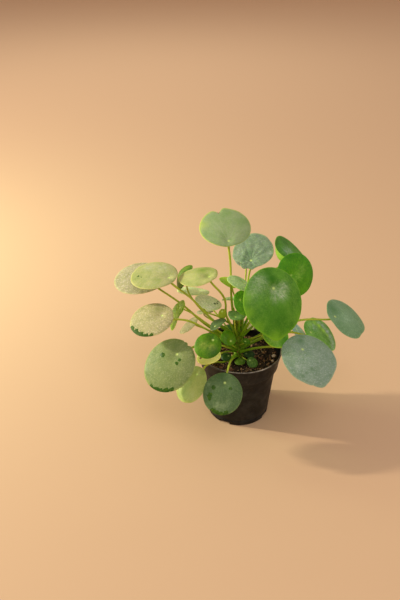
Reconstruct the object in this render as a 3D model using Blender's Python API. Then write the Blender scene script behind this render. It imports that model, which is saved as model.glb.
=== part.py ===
"""Potted pilea (Chinese money plant) in a thin-walled black nursery pot.

Every leaf is one piece: a round blade with its stalk joined under the blade, off centre.
The stalks spring from one short main stem, which stands in the soil of the pot.
The origin is the middle of the pot's base, +Z is up and -Y is the front. Lengths are in metres.
"""

import math

import bmesh
import bpy
from mathutils import Matrix, Vector, noise
from mathutils.bvhtree import BVHTree

MM = 0.001

# Pot: a 12 cm nursery pot
RIM_RADIUS = 60 * MM
POT_HEIGHT = 107 * MM
BASE_RADIUS = 44 * MM
STEP_HEIGHT = 82 * MM
STEP_RADIUS = 52.2 * MM
COLLAR_RADIUS = 55.8 * MM
WALL = 1.2 * MM
FLOOR_THICK = 1.6 * MM
NOTCH_WIDTH = 16 * MM
NOTCH_HEIGHT = 4.6 * MM
NOTCH_REACH = 7.5 * MM
NOTCH_BEARINGS = (-119, -29, 61, 151)
POT_SIDES = 48

# Soil
SOIL_TOP = 93 * MM
SOIL_RINGS = (0.14, 0.3, 0.46, 0.62, 0.78, 0.92)
SOIL_LUMP = 1.6 * MM

# Main stem
STEM_FOOT = Vector((-4, -3, 87)) * MM
STEM_TOP = Vector((-3, 0, 149)) * MM
STEM_FOOT_RADIUS = 4.6 * MM
STEM_TOP_RADIUS = 3.0 * MM

GAP = 0.3 * MM

# Leaf sizes
BLADE_THICK = 0.9 * MM
BOSS_DEPTH = 1.5 * MM
DIMPLE_RADIUS = 7 * MM
NECK_LENGTH = 5 * MM
STALK_FLARE = 1.25


def clear_scene():
    for obj in list(bpy.data.objects):
        bpy.data.objects.remove(obj, do_unlink=True)


def new_collection(name):
    collection = bpy.data.collections.new(name)
    bpy.context.scene.collection.children.link(collection)
    return collection


def material(name, colour, roughness, metallic=0.0):
    made = bpy.data.materials.new(name)
    made.use_nodes = True
    shader = made.node_tree.nodes["Principled BSDF"]
    shader.inputs["Base Color"].default_value = (*colour, 1.0)
    shader.inputs["Roughness"].default_value = roughness
    shader.inputs["Metallic"].default_value = metallic
    made.diffuse_color = (*colour, 1.0)
    return made


def add_object(name, mesh, collection, mat):
    obj = bpy.data.objects.new(name, mesh)
    collection.objects.link(obj)
    if mat is not None:
        mesh.materials.append(mat)
    return obj


def finish_bmesh(bm, name):
    bmesh.ops.recalc_face_normals(bm, faces=bm.faces)
    mesh = bpy.data.meshes.new(name)
    bm.to_mesh(mesh)
    bm.free()
    mesh.shade_smooth()
    mesh.set_sharp_from_angle(angle=math.radians(40))
    return mesh


def spun(profile, sides):
    """A bmesh turned round +Z from (radius, height) points, welded on the axis and at the seam."""
    bm = bmesh.new()
    points = [bm.verts.new((radius, 0, height)) for radius, height in profile]
    edges = [bm.edges.new(pair) for pair in zip(points, points[1:])]
    bmesh.ops.spin(
        bm, geom=points + edges, cent=(0, 0, 0), axis=(0, 0, 1), angle=math.tau, steps=sides, use_merge=True
    )
    bmesh.ops.remove_doubles(bm, verts=bm.verts, dist=0.01 * MM)
    return bm


def as_tool(obj):
    obj.hide_render = True
    obj.display_type = "WIRE"


def add_boolean(obj, tool, operation):
    modifier = obj.modifiers.new(tool.name, "BOOLEAN")
    modifier.operation = operation
    modifier.solver = "EXACT"
    modifier.object = tool


def tube(name, stops, radii, tools, resolution, bevel_resolution):
    """A mesh tube along a smooth curve through the stops, with welded caps."""
    curve = bpy.data.curves.new(name, "CURVE")
    curve.dimensions = "3D"
    curve.bevel_depth = 1.0
    curve.bevel_resolution = bevel_resolution
    curve.resolution_u = resolution
    curve.use_fill_caps = True
    spline = curve.splines.new("BEZIER")
    spline.bezier_points.add(len(stops) - 1)
    for point, stop, radius in zip(spline.bezier_points, stops, radii):
        point.co = stop
        point.radius = radius
        point.handle_left_type = "AUTO"
        point.handle_right_type = "AUTO"
    guide = bpy.data.objects.new(name, curve)
    tools.objects.link(guide)
    bpy.context.view_layer.update()
    graph = bpy.context.evaluated_depsgraph_get()
    mesh = bpy.data.meshes.new_from_object(guide.evaluated_get(graph))
    bpy.data.objects.remove(guide, do_unlink=True)
    bm = bmesh.new()
    bm.from_mesh(mesh)
    bmesh.ops.remove_doubles(bm, verts=bm.verts, dist=0.01 * MM)
    bpy.data.meshes.remove(mesh)
    return finish_bmesh(bm, name)


def stem_radius(height):
    share = (height - STEM_FOOT.z) / (STEM_TOP.z - STEM_FOOT.z)
    return STEM_FOOT_RADIUS + (STEM_TOP_RADIUS - STEM_FOOT_RADIUS) * min(max(share, 0), 1)


def stem_centre(height):
    share = (height - STEM_FOOT.z) / (STEM_TOP.z - STEM_FOOT.z)
    return STEM_FOOT.lerp(STEM_TOP, share)


def blade_frame(facing, turn):
    """Columns: towards the tip, sideways and out of the face; turn is measured from straight downhill."""
    bearing, rise = (math.radians(value) for value in facing)
    normal = Vector(
        (math.cos(bearing) * math.cos(rise), math.sin(bearing) * math.cos(rise), math.sin(rise))
    )
    downhill = Vector(
        (math.cos(bearing) * math.sin(rise), math.sin(bearing) * math.sin(rise), -math.cos(rise))
    )
    tip = Matrix.Rotation(math.radians(turn), 3, normal) @ downhill
    side = normal.cross(tip)
    return Matrix((tip, side, normal)).transposed()


def outline_radius(angle, length, width, seat_back):
    """Distance from the seat to the oval margin; angle 0 points at the tip."""
    centre = length / 2 - seat_back
    along, across = math.cos(angle) / (length / 2), math.sin(angle) / (width / 2)
    start = -centre / (length / 2)
    a = along * along + across * across
    b = 2 * start * along
    c = start * start - 1
    return (-b + math.sqrt(b * b - 4 * a * c)) / (2 * a)


def blade_mesh(name, length, width, seat_back, arch, droop, dimple, wave, curl, sides):
    """A thin oval blade turned as a disc round the seat and then drawn out to its outline and bent."""
    half = BLADE_THICK / 2
    profile = (
        (0, half),
        (0.34, half),
        (0.72, half * 0.9),
        (1.0, 0),
        (0.66, -half * 0.9),
        (0.16, -half * 1.2),
        (0, -BOSS_DEPTH),
    )
    bm = spun(profile, sides)
    centre = length / 2 - seat_back
    for vert in bm.verts:
        share = math.hypot(vert.co.x, vert.co.y)
        angle = math.atan2(vert.co.y, vert.co.x)
        reach = share * outline_radius(angle, length, width, seat_back)
        x, y = reach * math.cos(angle), reach * math.sin(angle)
        along = ((x - centre) ** 2 - centre**2) / (length / 2) ** 2
        across = (y / (width / 2)) ** 2
        height = -droop * along - arch * across
        height += dimple * (1 - math.exp(-((reach / DIMPLE_RADIUS) ** 2)))
        height += wave * share**2 * math.sin(3 * angle + 40 * length / MM)
        towards_curl = max(math.cos(angle - math.radians(curl[1])), 0)
        height += curl[0] * share**3 * towards_curl**2
        vert.co = Vector((x, y, vert.co.z + height))
    return finish_bmesh(bm, name)


def stalk_stops(seat, normal, foot_height, foot_bearing, stops, radius):
    """Points from just off the stem, through the given stops, to inside the blade under its seat.

    A steep stalk's square-cut end leans in over its foot, so it starts further out.
    """
    bearing = math.radians(foot_bearing)
    out = Vector((math.cos(bearing), math.sin(bearing), 0))
    neck = seat - normal * min(NECK_LENGTH, 4 * radius)
    later = [Vector(stop) * MM for stop in stops] + [neck, seat]
    centre = stem_centre(foot_height)
    edge = stem_radius(foot_height) + GAP
    steepness = max((later[0] - centre - out * edge).normalized().z, 0)
    return [centre + out * (edge + STALK_FLARE * radius * steepness)] + later


def make_leaf(name, mat, parts, tools, seat, facing, turn, length, width, back, foot, via=(), stalk=1.3,
              arch=2.0, droop=2.0, dimple=1.0, wave=0.6, curl=(0, 0), sides=12):
    """A leaf from its seat point, the way it faces, its size and where its stalk leaves the stem."""
    frame = blade_frame(facing, turn)
    place = Matrix.Translation(Vector(seat) * MM) @ frame.to_4x4()
    blade = blade_mesh(
        name, length * MM, width * MM, back * MM, arch * MM, droop * MM, dimple * MM, wave * MM,
        (curl[0] * MM, curl[1]), sides
    )
    obj = add_object(name, blade, parts, mat)
    obj.matrix_world = place
    height, bearing = foot
    stops = stalk_stops(Vector(seat) * MM, frame.col[2], height * MM, bearing, via, stalk * MM)
    last = len(stops) - 1
    radii = [stalk * MM * (STALK_FLARE if i == 0 else 1.0 - 0.12 * i / last) for i in range(last + 1)]
    stalk_mesh = tube(name + "_stalk", stops, radii, tools, 3, 1)
    tool = add_object(name + "_stalk", stalk_mesh, tools, None)
    as_tool(tool)
    add_boolean(obj, tool, "UNION")
    return obj


def inner_wall_radius(height):
    """Radius of the pot's inner face at a height above its floor."""
    corners = (
        (FLOOR_THICK, BASE_RADIUS - WALL),
        (STEP_HEIGHT, STEP_RADIUS - WALL),
        (STEP_HEIGHT + 1.6 * MM, COLLAR_RADIUS - WALL),
        (POT_HEIGHT - 2.5 * MM, RIM_RADIUS - 0.6 * MM - WALL),
        (POT_HEIGHT, RIM_RADIUS - WALL),
    )
    for (low, low_radius), (high, high_radius) in zip(corners, corners[1:]):
        if height <= high:
            return low_radius + (high_radius - low_radius) * (height - low) / (high - low)
    return RIM_RADIUS - WALL


def make_pot(mat, parts, tools):
    """A turned cup with a stepped collar, a thin lip and four drain notches in its bottom edge."""
    outer = [
        (0, 0),
        (BASE_RADIUS - 1.2 * MM, 0),
        (BASE_RADIUS, 1.2 * MM),
        (STEP_RADIUS, STEP_HEIGHT),
        (COLLAR_RADIUS - 0.6 * MM, STEP_HEIGHT + 0.4 * MM),
        (COLLAR_RADIUS, STEP_HEIGHT + 1.2 * MM),
        (RIM_RADIUS - 0.8 * MM, POT_HEIGHT - 3 * MM),
        (RIM_RADIUS, POT_HEIGHT - 2.2 * MM),
        (RIM_RADIUS, POT_HEIGHT - 0.4 * MM),
        (RIM_RADIUS - 0.4 * MM, POT_HEIGHT),
    ]
    inner = [
        (RIM_RADIUS - WALL, POT_HEIGHT),
        (inner_wall_radius(POT_HEIGHT - 2.5 * MM), POT_HEIGHT - 2.5 * MM),
        (COLLAR_RADIUS - WALL, STEP_HEIGHT + 1.6 * MM),
        (STEP_RADIUS - WALL, STEP_HEIGHT),
        (BASE_RADIUS - WALL, FLOOR_THICK),
        (0, FLOOR_THICK),
    ]
    pot = add_object("nursery_pot", finish_bmesh(spun(outer + inner, POT_SIDES), "nursery_pot"), parts, mat)
    for index, bearing in enumerate(NOTCH_BEARINGS):
        bm = bmesh.new()
        size = Vector((2 * NOTCH_REACH, NOTCH_WIDTH, 2 * NOTCH_HEIGHT))
        bmesh.ops.create_cube(bm, size=1, matrix=Matrix.Diagonal(size).to_4x4())
        for vert in bm.verts:
            if vert.co.z > 0:
                vert.co.y *= 0.72
        tool = add_object(f"notch_tool_{index + 1}", finish_bmesh(bm, "notch_tool"), tools, None)
        tool.rotation_euler.z = math.radians(bearing)
        tool.location = Matrix.Rotation(math.radians(bearing), 3, "Z") @ Vector((BASE_RADIUS, 0, 0))
        as_tool(tool)
        add_boolean(pot, tool, "DIFFERENCE")
    return pot


def soil_lump(x, y):
    """Height of the loose surface above its level, flat against the wall and banked up at the stem."""
    spread = Vector((x, y, 0)) / (11 * MM)
    lump = SOIL_LUMP * (noise.noise(spread) + 0.5 * noise.noise(spread * 2.3))
    bank = 2.0 * MM * math.exp(-((math.hypot(x + 4 * MM, y + 3 * MM) / (16 * MM)) ** 2))
    return lump + bank


def make_soil(mat, parts, tools):
    """The root ball: it fills the pot 0.3 mm off its wall and has a lumpy top."""
    top_radius = inner_wall_radius(SOIL_TOP) - GAP
    profile = [(0, SOIL_TOP)] + [(top_radius * share, SOIL_TOP) for share in SOIL_RINGS] + [
        (top_radius, SOIL_TOP),
        (COLLAR_RADIUS - WALL - GAP, STEP_HEIGHT + 2.0 * MM),
        (STEP_RADIUS - WALL - GAP, STEP_HEIGHT + 0.4 * MM),
        (BASE_RADIUS - WALL - GAP, FLOOR_THICK + GAP),
        (0, FLOOR_THICK + GAP),
    ]
    bm = spun(profile, POT_SIDES)
    for vert in bm.verts:
        reach = math.hypot(vert.co.x, vert.co.y)
        if vert.co.z > SOIL_TOP - 0.01 * MM and reach < 0.97 * top_radius:
            vert.co.z += soil_lump(vert.co.x, vert.co.y)
    soil = add_object("potting_soil", finish_bmesh(bm, "potting_soil"), parts, mat)
    axis = STEM_TOP - STEM_FOOT
    bm = bmesh.new()
    bmesh.ops.create_cone(
        bm, cap_ends=True, segments=16, radius1=STEM_FOOT_RADIUS + GAP, radius2=STEM_FOOT_RADIUS + GAP,
        depth=24 * MM, matrix=Matrix.Translation((0, 0, 12 * MM - GAP)),
    )
    tool = add_object("stem_socket_tool", finish_bmesh(bm, "stem_socket_tool"), tools, None)
    tool.matrix_world = Matrix.Translation(STEM_FOOT) @ axis.to_track_quat("Z", "Y").to_matrix().to_4x4()
    as_tool(tool)
    add_boolean(soil, tool, "DIFFERENCE")
    return soil


def make_stem(mat, parts):
    """The short upright stem with a slight swelling at each old leaf scar, and a rounded growing tip."""
    length = (STEM_TOP - STEM_FOOT).length
    profile = [(0, 0), (STEM_FOOT_RADIUS, 0)]
    scars = 7
    for index in range(scars):
        height = length * (0.18 + 0.78 * index / scars)
        radius = STEM_FOOT_RADIUS + (STEM_TOP_RADIUS - STEM_FOOT_RADIUS) * height / length
        profile += [(radius - 0.25 * MM, height), (radius, height + 2.2 * MM)]
    profile += [(STEM_TOP_RADIUS - 0.3 * MM, length), (1.6 * MM, length + 2.4 * MM), (0, length + 3.2 * MM)]
    stem = add_object("main_stem", finish_bmesh(spun(profile, 12), "main_stem"), parts, mat)
    axis = STEM_TOP - STEM_FOOT
    stem.matrix_world = Matrix.Translation(STEM_FOOT) @ axis.to_track_quat("Z", "Y").to_matrix().to_4x4()
    return stem


def make_lump(name, mat, parts, soil, place, size, turn, kind, seed):
    """A pebble or a bark chip that lies on the soil, let down until it all but touches."""
    bm = bmesh.new()
    if kind == "pebble":
        bmesh.ops.create_icosphere(bm, subdivisions=2, radius=0.5)
    else:
        bmesh.ops.create_cube(bm, size=1)
        bmesh.ops.bevel(bm, geom=bm.edges[:], offset=0.16, segments=1, affect="EDGES")
    for vert in bm.verts:
        vert.co *= 1 + 0.22 * noise.noise(vert.co * 1.7 + Vector((seed, 0, 0)))
    spin = Matrix.Rotation(math.radians(turn), 4, "Z") @ Matrix.Rotation(math.radians(8), 4, "X")
    shape = spin @ Matrix.Diagonal(Vector(size) * MM).to_4x4()
    bmesh.ops.transform(bm, matrix=shape, verts=bm.verts)
    start = Vector((place[0] * MM, place[1] * MM, SOIL_TOP + 12 * MM))
    ground = BVHTree.FromPolygons(
        [vert.co for vert in soil.data.vertices], [face.vertices for face in soil.data.polygons]
    )
    own = BVHTree.FromBMesh(bm)
    clearances = []
    for vert in bm.verts:
        hit = ground.ray_cast(start + vert.co, Vector((0, 0, -1)))[0]
        clearances.append((start + vert.co - hit).z)
    for vert in soil.data.vertices:
        hit = own.ray_cast(vert.co - start, Vector((0, 0, 1)))[0]
        if hit is not None:
            clearances.append((start + hit - vert.co).z)
    obj = add_object(name, finish_bmesh(bm, name), parts, mat)
    obj.location = start - Vector((0, 0, min(clearances) - GAP))
    return obj


def main():
    clear_scene()
    parts = new_collection("potted_pilea")
    tools = new_collection("potted_pilea_tools")

    fresh = material("leaf_fresh_green", (0.10, 0.26, 0.015), 0.38)
    blue = material("leaf_blue_green", (0.13, 0.22, 0.11), 0.45)
    yellow = material("leaf_yellow_green", (0.32, 0.38, 0.08), 0.45)
    dusty = material("leaf_dusty_pale", (0.33, 0.35, 0.19), 0.6)
    grey = material("leaf_grey_green", (0.15, 0.23, 0.07), 0.5)
    dark = material("leaf_dark_green", (0.03, 0.10, 0.015), 0.4)
    stem_bark = material("stem_green_brown", (0.16, 0.18, 0.05), 0.6)
    pot_plastic = material("pot_black_plastic", (0.022, 0.02, 0.018), 0.5)
    peat = material("soil_dark_peat", (0.035, 0.02, 0.013), 0.95)
    tan_stone = material("pebble_tan", (0.45, 0.3, 0.19), 0.8)
    bark = material("bark_orange_brown", (0.3, 0.12, 0.05), 0.85)

    make_pot(pot_plastic, parts, tools)
    soil = make_soil(peat, parts, tools)
    make_stem(stem_bark, parts)

    def leaf(name, mat, **shape):
        make_leaf(name, mat, parts, tools, **shape)

    # The crown, from the top down
    leaf("leaf_top", fresh, seat=(-20, 2, 275), facing=(-93, 72), turn=-169, length=75, width=69, back=10,
         foot=(146, 175), via=((-14, 0, 188), (-17, 1, 245)), stalk=1.6, arch=3, droop=2, sides=16)
    leaf("leaf_back_right_upper", blue, seat=(14, 46, 224), facing=(-116, 65), turn=-169, length=63, width=59,
         back=15, foot=(138, 62), via=((8, 21, 172), (11, 38, 200)), stalk=1.5, arch=2, droop=-3, wave=1.2,
         sides=16)
    leaf("leaf_right_cupped", fresh, seat=(72, 57, 217), facing=(-13, 49), turn=87, length=76, width=73,
         back=24, foot=(133, 32), via=((28, 26, 184), (49, 45, 210)), stalk=1.6, arch=-2, droop=0,
         curl=(9, 180), sides=16)
    leaf("leaf_right_glossy", fresh, seat=(67, 13, 218), facing=(-56, 24), turn=78, length=65, width=61,
         back=23, foot=(127, 0), via=((24, 3, 152), (48, 10, 196)), stalk=1.6, arch=4, droop=4, sides=16)
    leaf("leaf_front_largest", fresh, seat=(36, -49, 233), facing=(-62, 34), turn=-11, length=91, width=85,
         back=28, foot=(133, -48), via=((12, -18, 165), (27, -34, 208)), stalk=1.8, arch=6, droop=6,
         dimple=2, sides=16)
    leaf("leaf_centre_high", blue, seat=(2, -13, 220), facing=(6, 64), turn=-144, length=41, width=38,
         back=12, foot=(143, -20), via=((4, -1, 180), (5, -4, 204)), stalk=1.3, arch=1.5, droop=1.5)
    leaf("leaf_centre_high_behind", fresh, seat=(-11, 22, 200), facing=(-3, 73), turn=162, length=30,
         width=27, back=9, foot=(143, 105), via=((-7, 12, 178),), stalk=1.1, arch=1, droop=2, sides=10)
    leaf("leaf_back_hidden", blue, seat=(10, 72, 208), facing=(-90, 66), turn=180, length=38, width=36,
         back=10, foot=(130, 88), via=((5, 34, 165), (9, 60, 190)), stalk=1.2, arch=1, droop=1)
    leaf("leaf_centre_dark", fresh, seat=(-4, -24, 201), facing=(-47, 34), turn=42, length=37, width=35,
         back=10, foot=(141, -85), via=((-3, -10, 168), (-4, -17, 188)), stalk=1.2, arch=1, droop=2)
    leaf("leaf_centre_small", blue, seat=(-10, -30, 178), facing=(6, 83), turn=57, length=26, width=24,
         back=8, foot=(131, -112), via=((-9, -20, 154),), stalk=1.0, arch=-1, droop=1, sides=10)
    leaf("leaf_young_yellow", yellow, seat=(-27, -11, 175), facing=(-135, 33), turn=29, length=15, width=14,
         back=4, foot=(126, -150), via=((-14, -8, 152),), stalk=0.8, arch=0.5, droop=1, dimple=0.4, wave=0.2,
         sides=10)

    # The left side
    leaf("leaf_left_inner", yellow, seat=(-45, 1, 222), facing=(180, 78), turn=-26, length=55, width=52,
         back=11, foot=(138, -172), via=((-20, -1, 160), (-24, -1, 190)), stalk=1.6, arch=2, droop=2,
         dimple=2, sides=16)
    leaf("leaf_left_edge_on", fresh, seat=(-83, 38, 201), facing=(174, 29), turn=-162, length=40, width=30,
         back=18, foot=(129, 140), via=((-48, 21, 150), (-74, 32, 182)), stalk=1.2, arch=2, droop=6, wave=0.3)
    leaf("leaf_left_upper", yellow, seat=(-99, 6, 218), facing=(-138, 80), turn=-68, length=67, width=63,
         back=10, foot=(128, -178), via=((-39, 0, 154), (-68, 2, 187)), stalk=1.6, arch=2, droop=2, sides=16)
    leaf("leaf_far_left", dusty, seat=(-128, 36, 200), facing=(-126, 77), turn=-74, length=75, width=70,
         back=22, foot=(116, 150), via=((-46, 11, 137), (-82, 20, 167)), stalk=1.6, arch=2, droop=3, sides=16)
    leaf("leaf_left_twisted", grey, seat=(-85, 10, 168), facing=(-171, 30), turn=24, length=46, width=24,
         back=12, foot=(122, -170), via=((-40, 2, 141), (-68, 8, 160)), stalk=1.2, arch=-1, droop=2)
    leaf("leaf_left_low", dusty, seat=(-109, -14, 170), facing=(-121, 68), turn=-48, length=62, width=58,
         back=16, foot=(115, -174), via=((-44, -6, 140), (-76, -10, 160)), stalk=1.5, arch=3, droop=3, sides=16)
    leaf("leaf_left_back_flat", blue, seat=(-58, 63, 164), facing=(72, 75), turn=107, length=48, width=45,
         back=15, foot=(118, 125), via=((-24, 27, 134), (-46, 58, 146)), stalk=1.2, arch=1.5, droop=1.5)
    leaf("leaf_left_back_pale", dusty, seat=(-52, 58, 132), facing=(122, 72), turn=-84, length=28, width=26,
         back=10, foot=(108, 128), via=((-22, 28, 120),), stalk=1.0, arch=1, droop=1)
    leaf("leaf_left_back_small", dusty, seat=(-69, 50, 119), facing=(173, 51), turn=37, length=36, width=34,
         back=11, foot=(103, 140), via=((-42, 26, 118),), stalk=1.1, arch=1, droop=1)
    leaf("leaf_centre_grey", grey, seat=(-50, 12, 169), facing=(4, 74), turn=67, length=43, width=40,
         back=6, foot=(141, 150), via=((-32, 8, 155),), stalk=1.2, arch=2, droop=2)
    leaf("leaf_left_small_blue", blue, seat=(-37, -30, 163), facing=(174, 59), turn=-153, length=26,
         width=24, back=8, foot=(117, -138), via=((-24, -18, 142),), stalk=1.0, arch=-1, droop=1, sides=10)
    leaf("leaf_left_low_large", grey, seat=(-88, -51, 132), facing=(-119, 50), turn=-18, length=77, width=72,
         back=21, foot=(109, -172), via=((-28, -13, 120), (-58, -28, 132)), stalk=1.6, arch=4, droop=4,
         sides=16)
    leaf("leaf_left_yellow", yellow, seat=(-61, -57, 103), facing=(-147, 45), turn=7, length=53, width=51,
         back=11, foot=(97, -135), via=((-22, -22, 98.5), (-38, -38, 109), (-50, -50, 111)), stalk=1.4, arch=2,
         droop=2, sides=16)

    # The front
    leaf("leaf_front_left_round", fresh, seat=(-40, -55, 158), facing=(-95, 56), turn=-37, length=38,
         width=36, back=9, foot=(108, -122), via=((-24, -32, 132),), stalk=1.3, arch=3, droop=3)
    leaf("leaf_front_left_under", yellow, seat=(-39, -35, 121), facing=(-153, 81), turn=6, length=35,
         width=32, back=10, foot=(105, -138), via=((-24, -18, 112),), stalk=1.1, arch=1, droop=1)
    leaf("leaf_front_small_round", fresh, seat=(-15, -30, 139), facing=(-77, 52), turn=-151, length=23,
         width=21, back=6, foot=(112, -88), via=((-9, -20, 122),), stalk=0.9, arch=1, droop=1, sides=10)
    leaf("leaf_front_over_pot", blue, seat=(-24, -78, 105), facing=(-93, 47), turn=-10, length=57, width=53,
         back=14, foot=(98, -98), via=((-13, -34, 111), (-19, -60, 117)), stalk=1.5, arch=3, droop=3, sides=16)

    # The right side
    leaf("leaf_far_right", blue, seat=(130, -2, 161), facing=(-22, 53), turn=48, length=72, width=67,
         back=12, foot=(112, -10), via=((35, -4, 137), (83, -3, 156)), stalk=1.6, arch=3, droop=3, sides=16)
    leaf("leaf_right_curled", grey, seat=(103, 19, 121), facing=(-16, 53), turn=36, length=63, width=59,
         back=12, foot=(105, 15), via=((32, 6, 119), (72, 13, 125)), stalk=1.5, arch=-1, droop=2,
         curl=(5, 60), sides=16)
    leaf("leaf_right_low_large", blue, seat=(82, -41, 133), facing=(-65, 65), turn=11, length=82, width=76,
         back=25, foot=(104, -35), via=((25, -14, 117), (55, -27, 127)), stalk=1.7, arch=3, droop=5, sides=16)
    leaf("leaf_under_largest", fresh, seat=(45, -15, 147), facing=(-69, 65), turn=-5, length=40, width=37,
         back=12, foot=(119, -30), via=((24, -9, 133),), stalk=1.2, arch=2, droop=2)
    leaf("leaf_right_back_small", blue, seat=(86, 40, 112), facing=(-7, 42), turn=-2, length=44, width=41,
         back=13, foot=(103, 45), via=((44, 22, 116),), stalk=1.2, arch=2, droop=2)
    leaf("leaf_tiny_right", fresh, seat=(6, -16, 129), facing=(-29, 64), turn=64, length=13, width=12,
         back=4, foot=(116, -62), via=((2, -12, 122),), stalk=0.7, arch=0.5, droop=0.5, dimple=0.4, wave=0.2,
         sides=10)

    # The back
    leaf("leaf_back_edge_on", blue, seat=(-11, 62, 152), facing=(103, 67), turn=-101, length=36, width=34,
         back=14, foot=(119, 95), via=((-6, 32, 143),), stalk=1.1, arch=1, droop=1)
    leaf("leaf_back_right", grey, seat=(52, 84, 168), facing=(60, 55), turn=10, length=52, width=49,
         back=15, foot=(113, 72), via=((22, 34, 146),), stalk=1.3, arch=2, droop=3)
    leaf("leaf_centre_shaded", dark, seat=(-9, 37, 118), facing=(90, 86), turn=90, length=22, width=20,
         back=7, foot=(108, 100), via=(), stalk=0.9, arch=1, droop=1, sides=10)
    leaf("leaf_centre_pale_back", blue, seat=(13, 30, 124), facing=(5, 63), turn=71, length=22, width=20,
         back=7, foot=(107, 68), via=(), stalk=0.9, arch=1, droop=1, sides=10)

    # Small leaves close to the soil
    leaf("leaf_soil_left", dark, seat=(-17, -17, 105), facing=(-115, 68), turn=-51, length=15, width=14,
         back=4, foot=(102, -110), via=(), stalk=0.7, arch=0.5, droop=0.5, dimple=0.4, wave=0.2, sides=10)
    leaf("leaf_soil_front", fresh, seat=(2, -22, 100), facing=(-90, 76), turn=-75, length=16, width=13,
         back=5, foot=(97, -70), via=(), stalk=0.7, arch=0.5, droop=0.5, dimple=0.4, wave=0.2, sides=10)
    leaf("leaf_soil_right", dark, seat=(13, -22, 101), facing=(-70, 51), turn=36, length=17, width=16,
         back=4, foot=(97, -40), via=(), stalk=0.7, arch=0.5, droop=0.5, dimple=0.4, wave=0.2, sides=10)
    leaf("leaf_soil_behind", dark, seat=(9, -6, 101), facing=(-51, 78), turn=61, length=18, width=16,
         back=5, foot=(97, 0), via=(), stalk=0.7, arch=0.5, droop=0.5, dimple=0.4, wave=0.2, sides=10)

    # Loose bits on the soil
    lumps = (
        ("pebble_large", tan_stone, (49, -3), (6.4, 5.0, 4.2), 20, "pebble", 1.0),
        ("pebble_small", tan_stone, (46, -15), (4.6, 3.8, 3.0), 75, "pebble", 2.0),
        ("bark_chip_front", bark, (-14, -36), (8.0, 4.2, 2.0), 15, "chip", 3.0),
        ("bark_chip_left", bark, (-28, -30), (6.0, 3.4, 1.8), -40, "chip", 4.0),
        ("bark_chip_right", bark, (31, -8), (5.6, 3.6, 1.8), 60, "chip", 5.0),
        ("bark_chip_back", bark, (-30, 26), (7.2, 4.0, 2.0), 110, "chip", 6.0),
    )
    for name, mat, place, size, turn, kind, seed in lumps:
        make_lump(name, mat, parts, soil, place, size, turn, kind, seed)


main()
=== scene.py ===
"""Looks for the potted pilea: fine leaves on their stalks, stem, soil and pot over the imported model."""

import math
from contextlib import contextmanager

import bmesh
import bpy
import numpy as np
from mathutils import Matrix, Vector, noise
from mathutils.bvhtree import BVHTree


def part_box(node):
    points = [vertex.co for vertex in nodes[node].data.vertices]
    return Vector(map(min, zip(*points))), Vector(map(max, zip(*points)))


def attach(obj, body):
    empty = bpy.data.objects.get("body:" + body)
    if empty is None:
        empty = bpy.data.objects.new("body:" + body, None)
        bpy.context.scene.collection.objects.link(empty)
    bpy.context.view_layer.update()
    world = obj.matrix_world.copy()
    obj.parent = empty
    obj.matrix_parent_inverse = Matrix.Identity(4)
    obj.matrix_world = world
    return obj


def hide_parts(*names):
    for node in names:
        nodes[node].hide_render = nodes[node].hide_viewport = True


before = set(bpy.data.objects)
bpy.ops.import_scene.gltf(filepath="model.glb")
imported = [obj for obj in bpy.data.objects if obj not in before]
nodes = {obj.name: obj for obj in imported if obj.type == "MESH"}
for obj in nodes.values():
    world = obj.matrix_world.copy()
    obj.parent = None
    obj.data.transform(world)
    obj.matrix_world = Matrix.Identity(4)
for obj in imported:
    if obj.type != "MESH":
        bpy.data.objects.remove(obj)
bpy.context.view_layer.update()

MM = 0.001
scene = bpy.context.scene
scene.view_settings.view_transform = "Standard"


# ---- selecting, placing and editing

def deselect():
    bpy.ops.object.select_all(action="DESELECT")


def only(obj):
    deselect()
    obj.select_set(True)
    bpy.context.view_layer.objects.active = obj


def placed(name, data):
    """A new object in the scene that holds the data."""
    obj = bpy.data.objects.new(name, data)
    scene.collection.objects.link(obj)
    return obj


def made(name, operator, **settings):
    """What a primitive operator adds."""
    deselect()
    operator(**settings)
    obj = bpy.context.active_object
    obj.name = name
    return obj


@contextmanager
def editing(obj, kind="VERT", action="SELECT"):
    """Edit mode on one object, with everything or nothing selected."""
    only(obj)
    bpy.ops.object.mode_set(mode="EDIT")
    bpy.ops.mesh.select_mode(type=kind)
    bpy.ops.mesh.select_all(action=action)
    yield
    bpy.ops.object.mode_set(mode="OBJECT")


def joined(pieces):
    """The first of the objects, with the others joined to it."""
    deselect()
    for piece in pieces:
        piece.select_set(True)
    bpy.context.view_layer.objects.active = pieces[0]
    bpy.ops.object.join()
    return pieces[0]


# ---- camera and light

CAMERA_DIP = 30.765  # degrees under level
camera_data = bpy.data.cameras.new("camera")
camera_data.lens = 39.0
camera_data.sensor_width = 36.0
camera_data.sensor_fit = "AUTO"
camera = placed("camera", camera_data)
camera.location = (-0.0571, -0.7643, 0.6416)
camera.rotation_euler = (math.radians(90 - CAMERA_DIP), 0, 0)
scene.camera = camera


def lamp(name, place, target, width, height, power, colour):
    """A soft box, width across and height upright, that faces its target."""
    data = bpy.data.lights.new(name, "AREA")
    data.shape = "RECTANGLE"
    data.size = width
    data.size_y = height
    data.energy = power
    data.color = colour
    obj = placed(name, data)
    obj.location = place
    obj.rotation_euler = (Vector(target) - Vector(place)).to_track_quat("-Z", "Y").to_euler()


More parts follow.
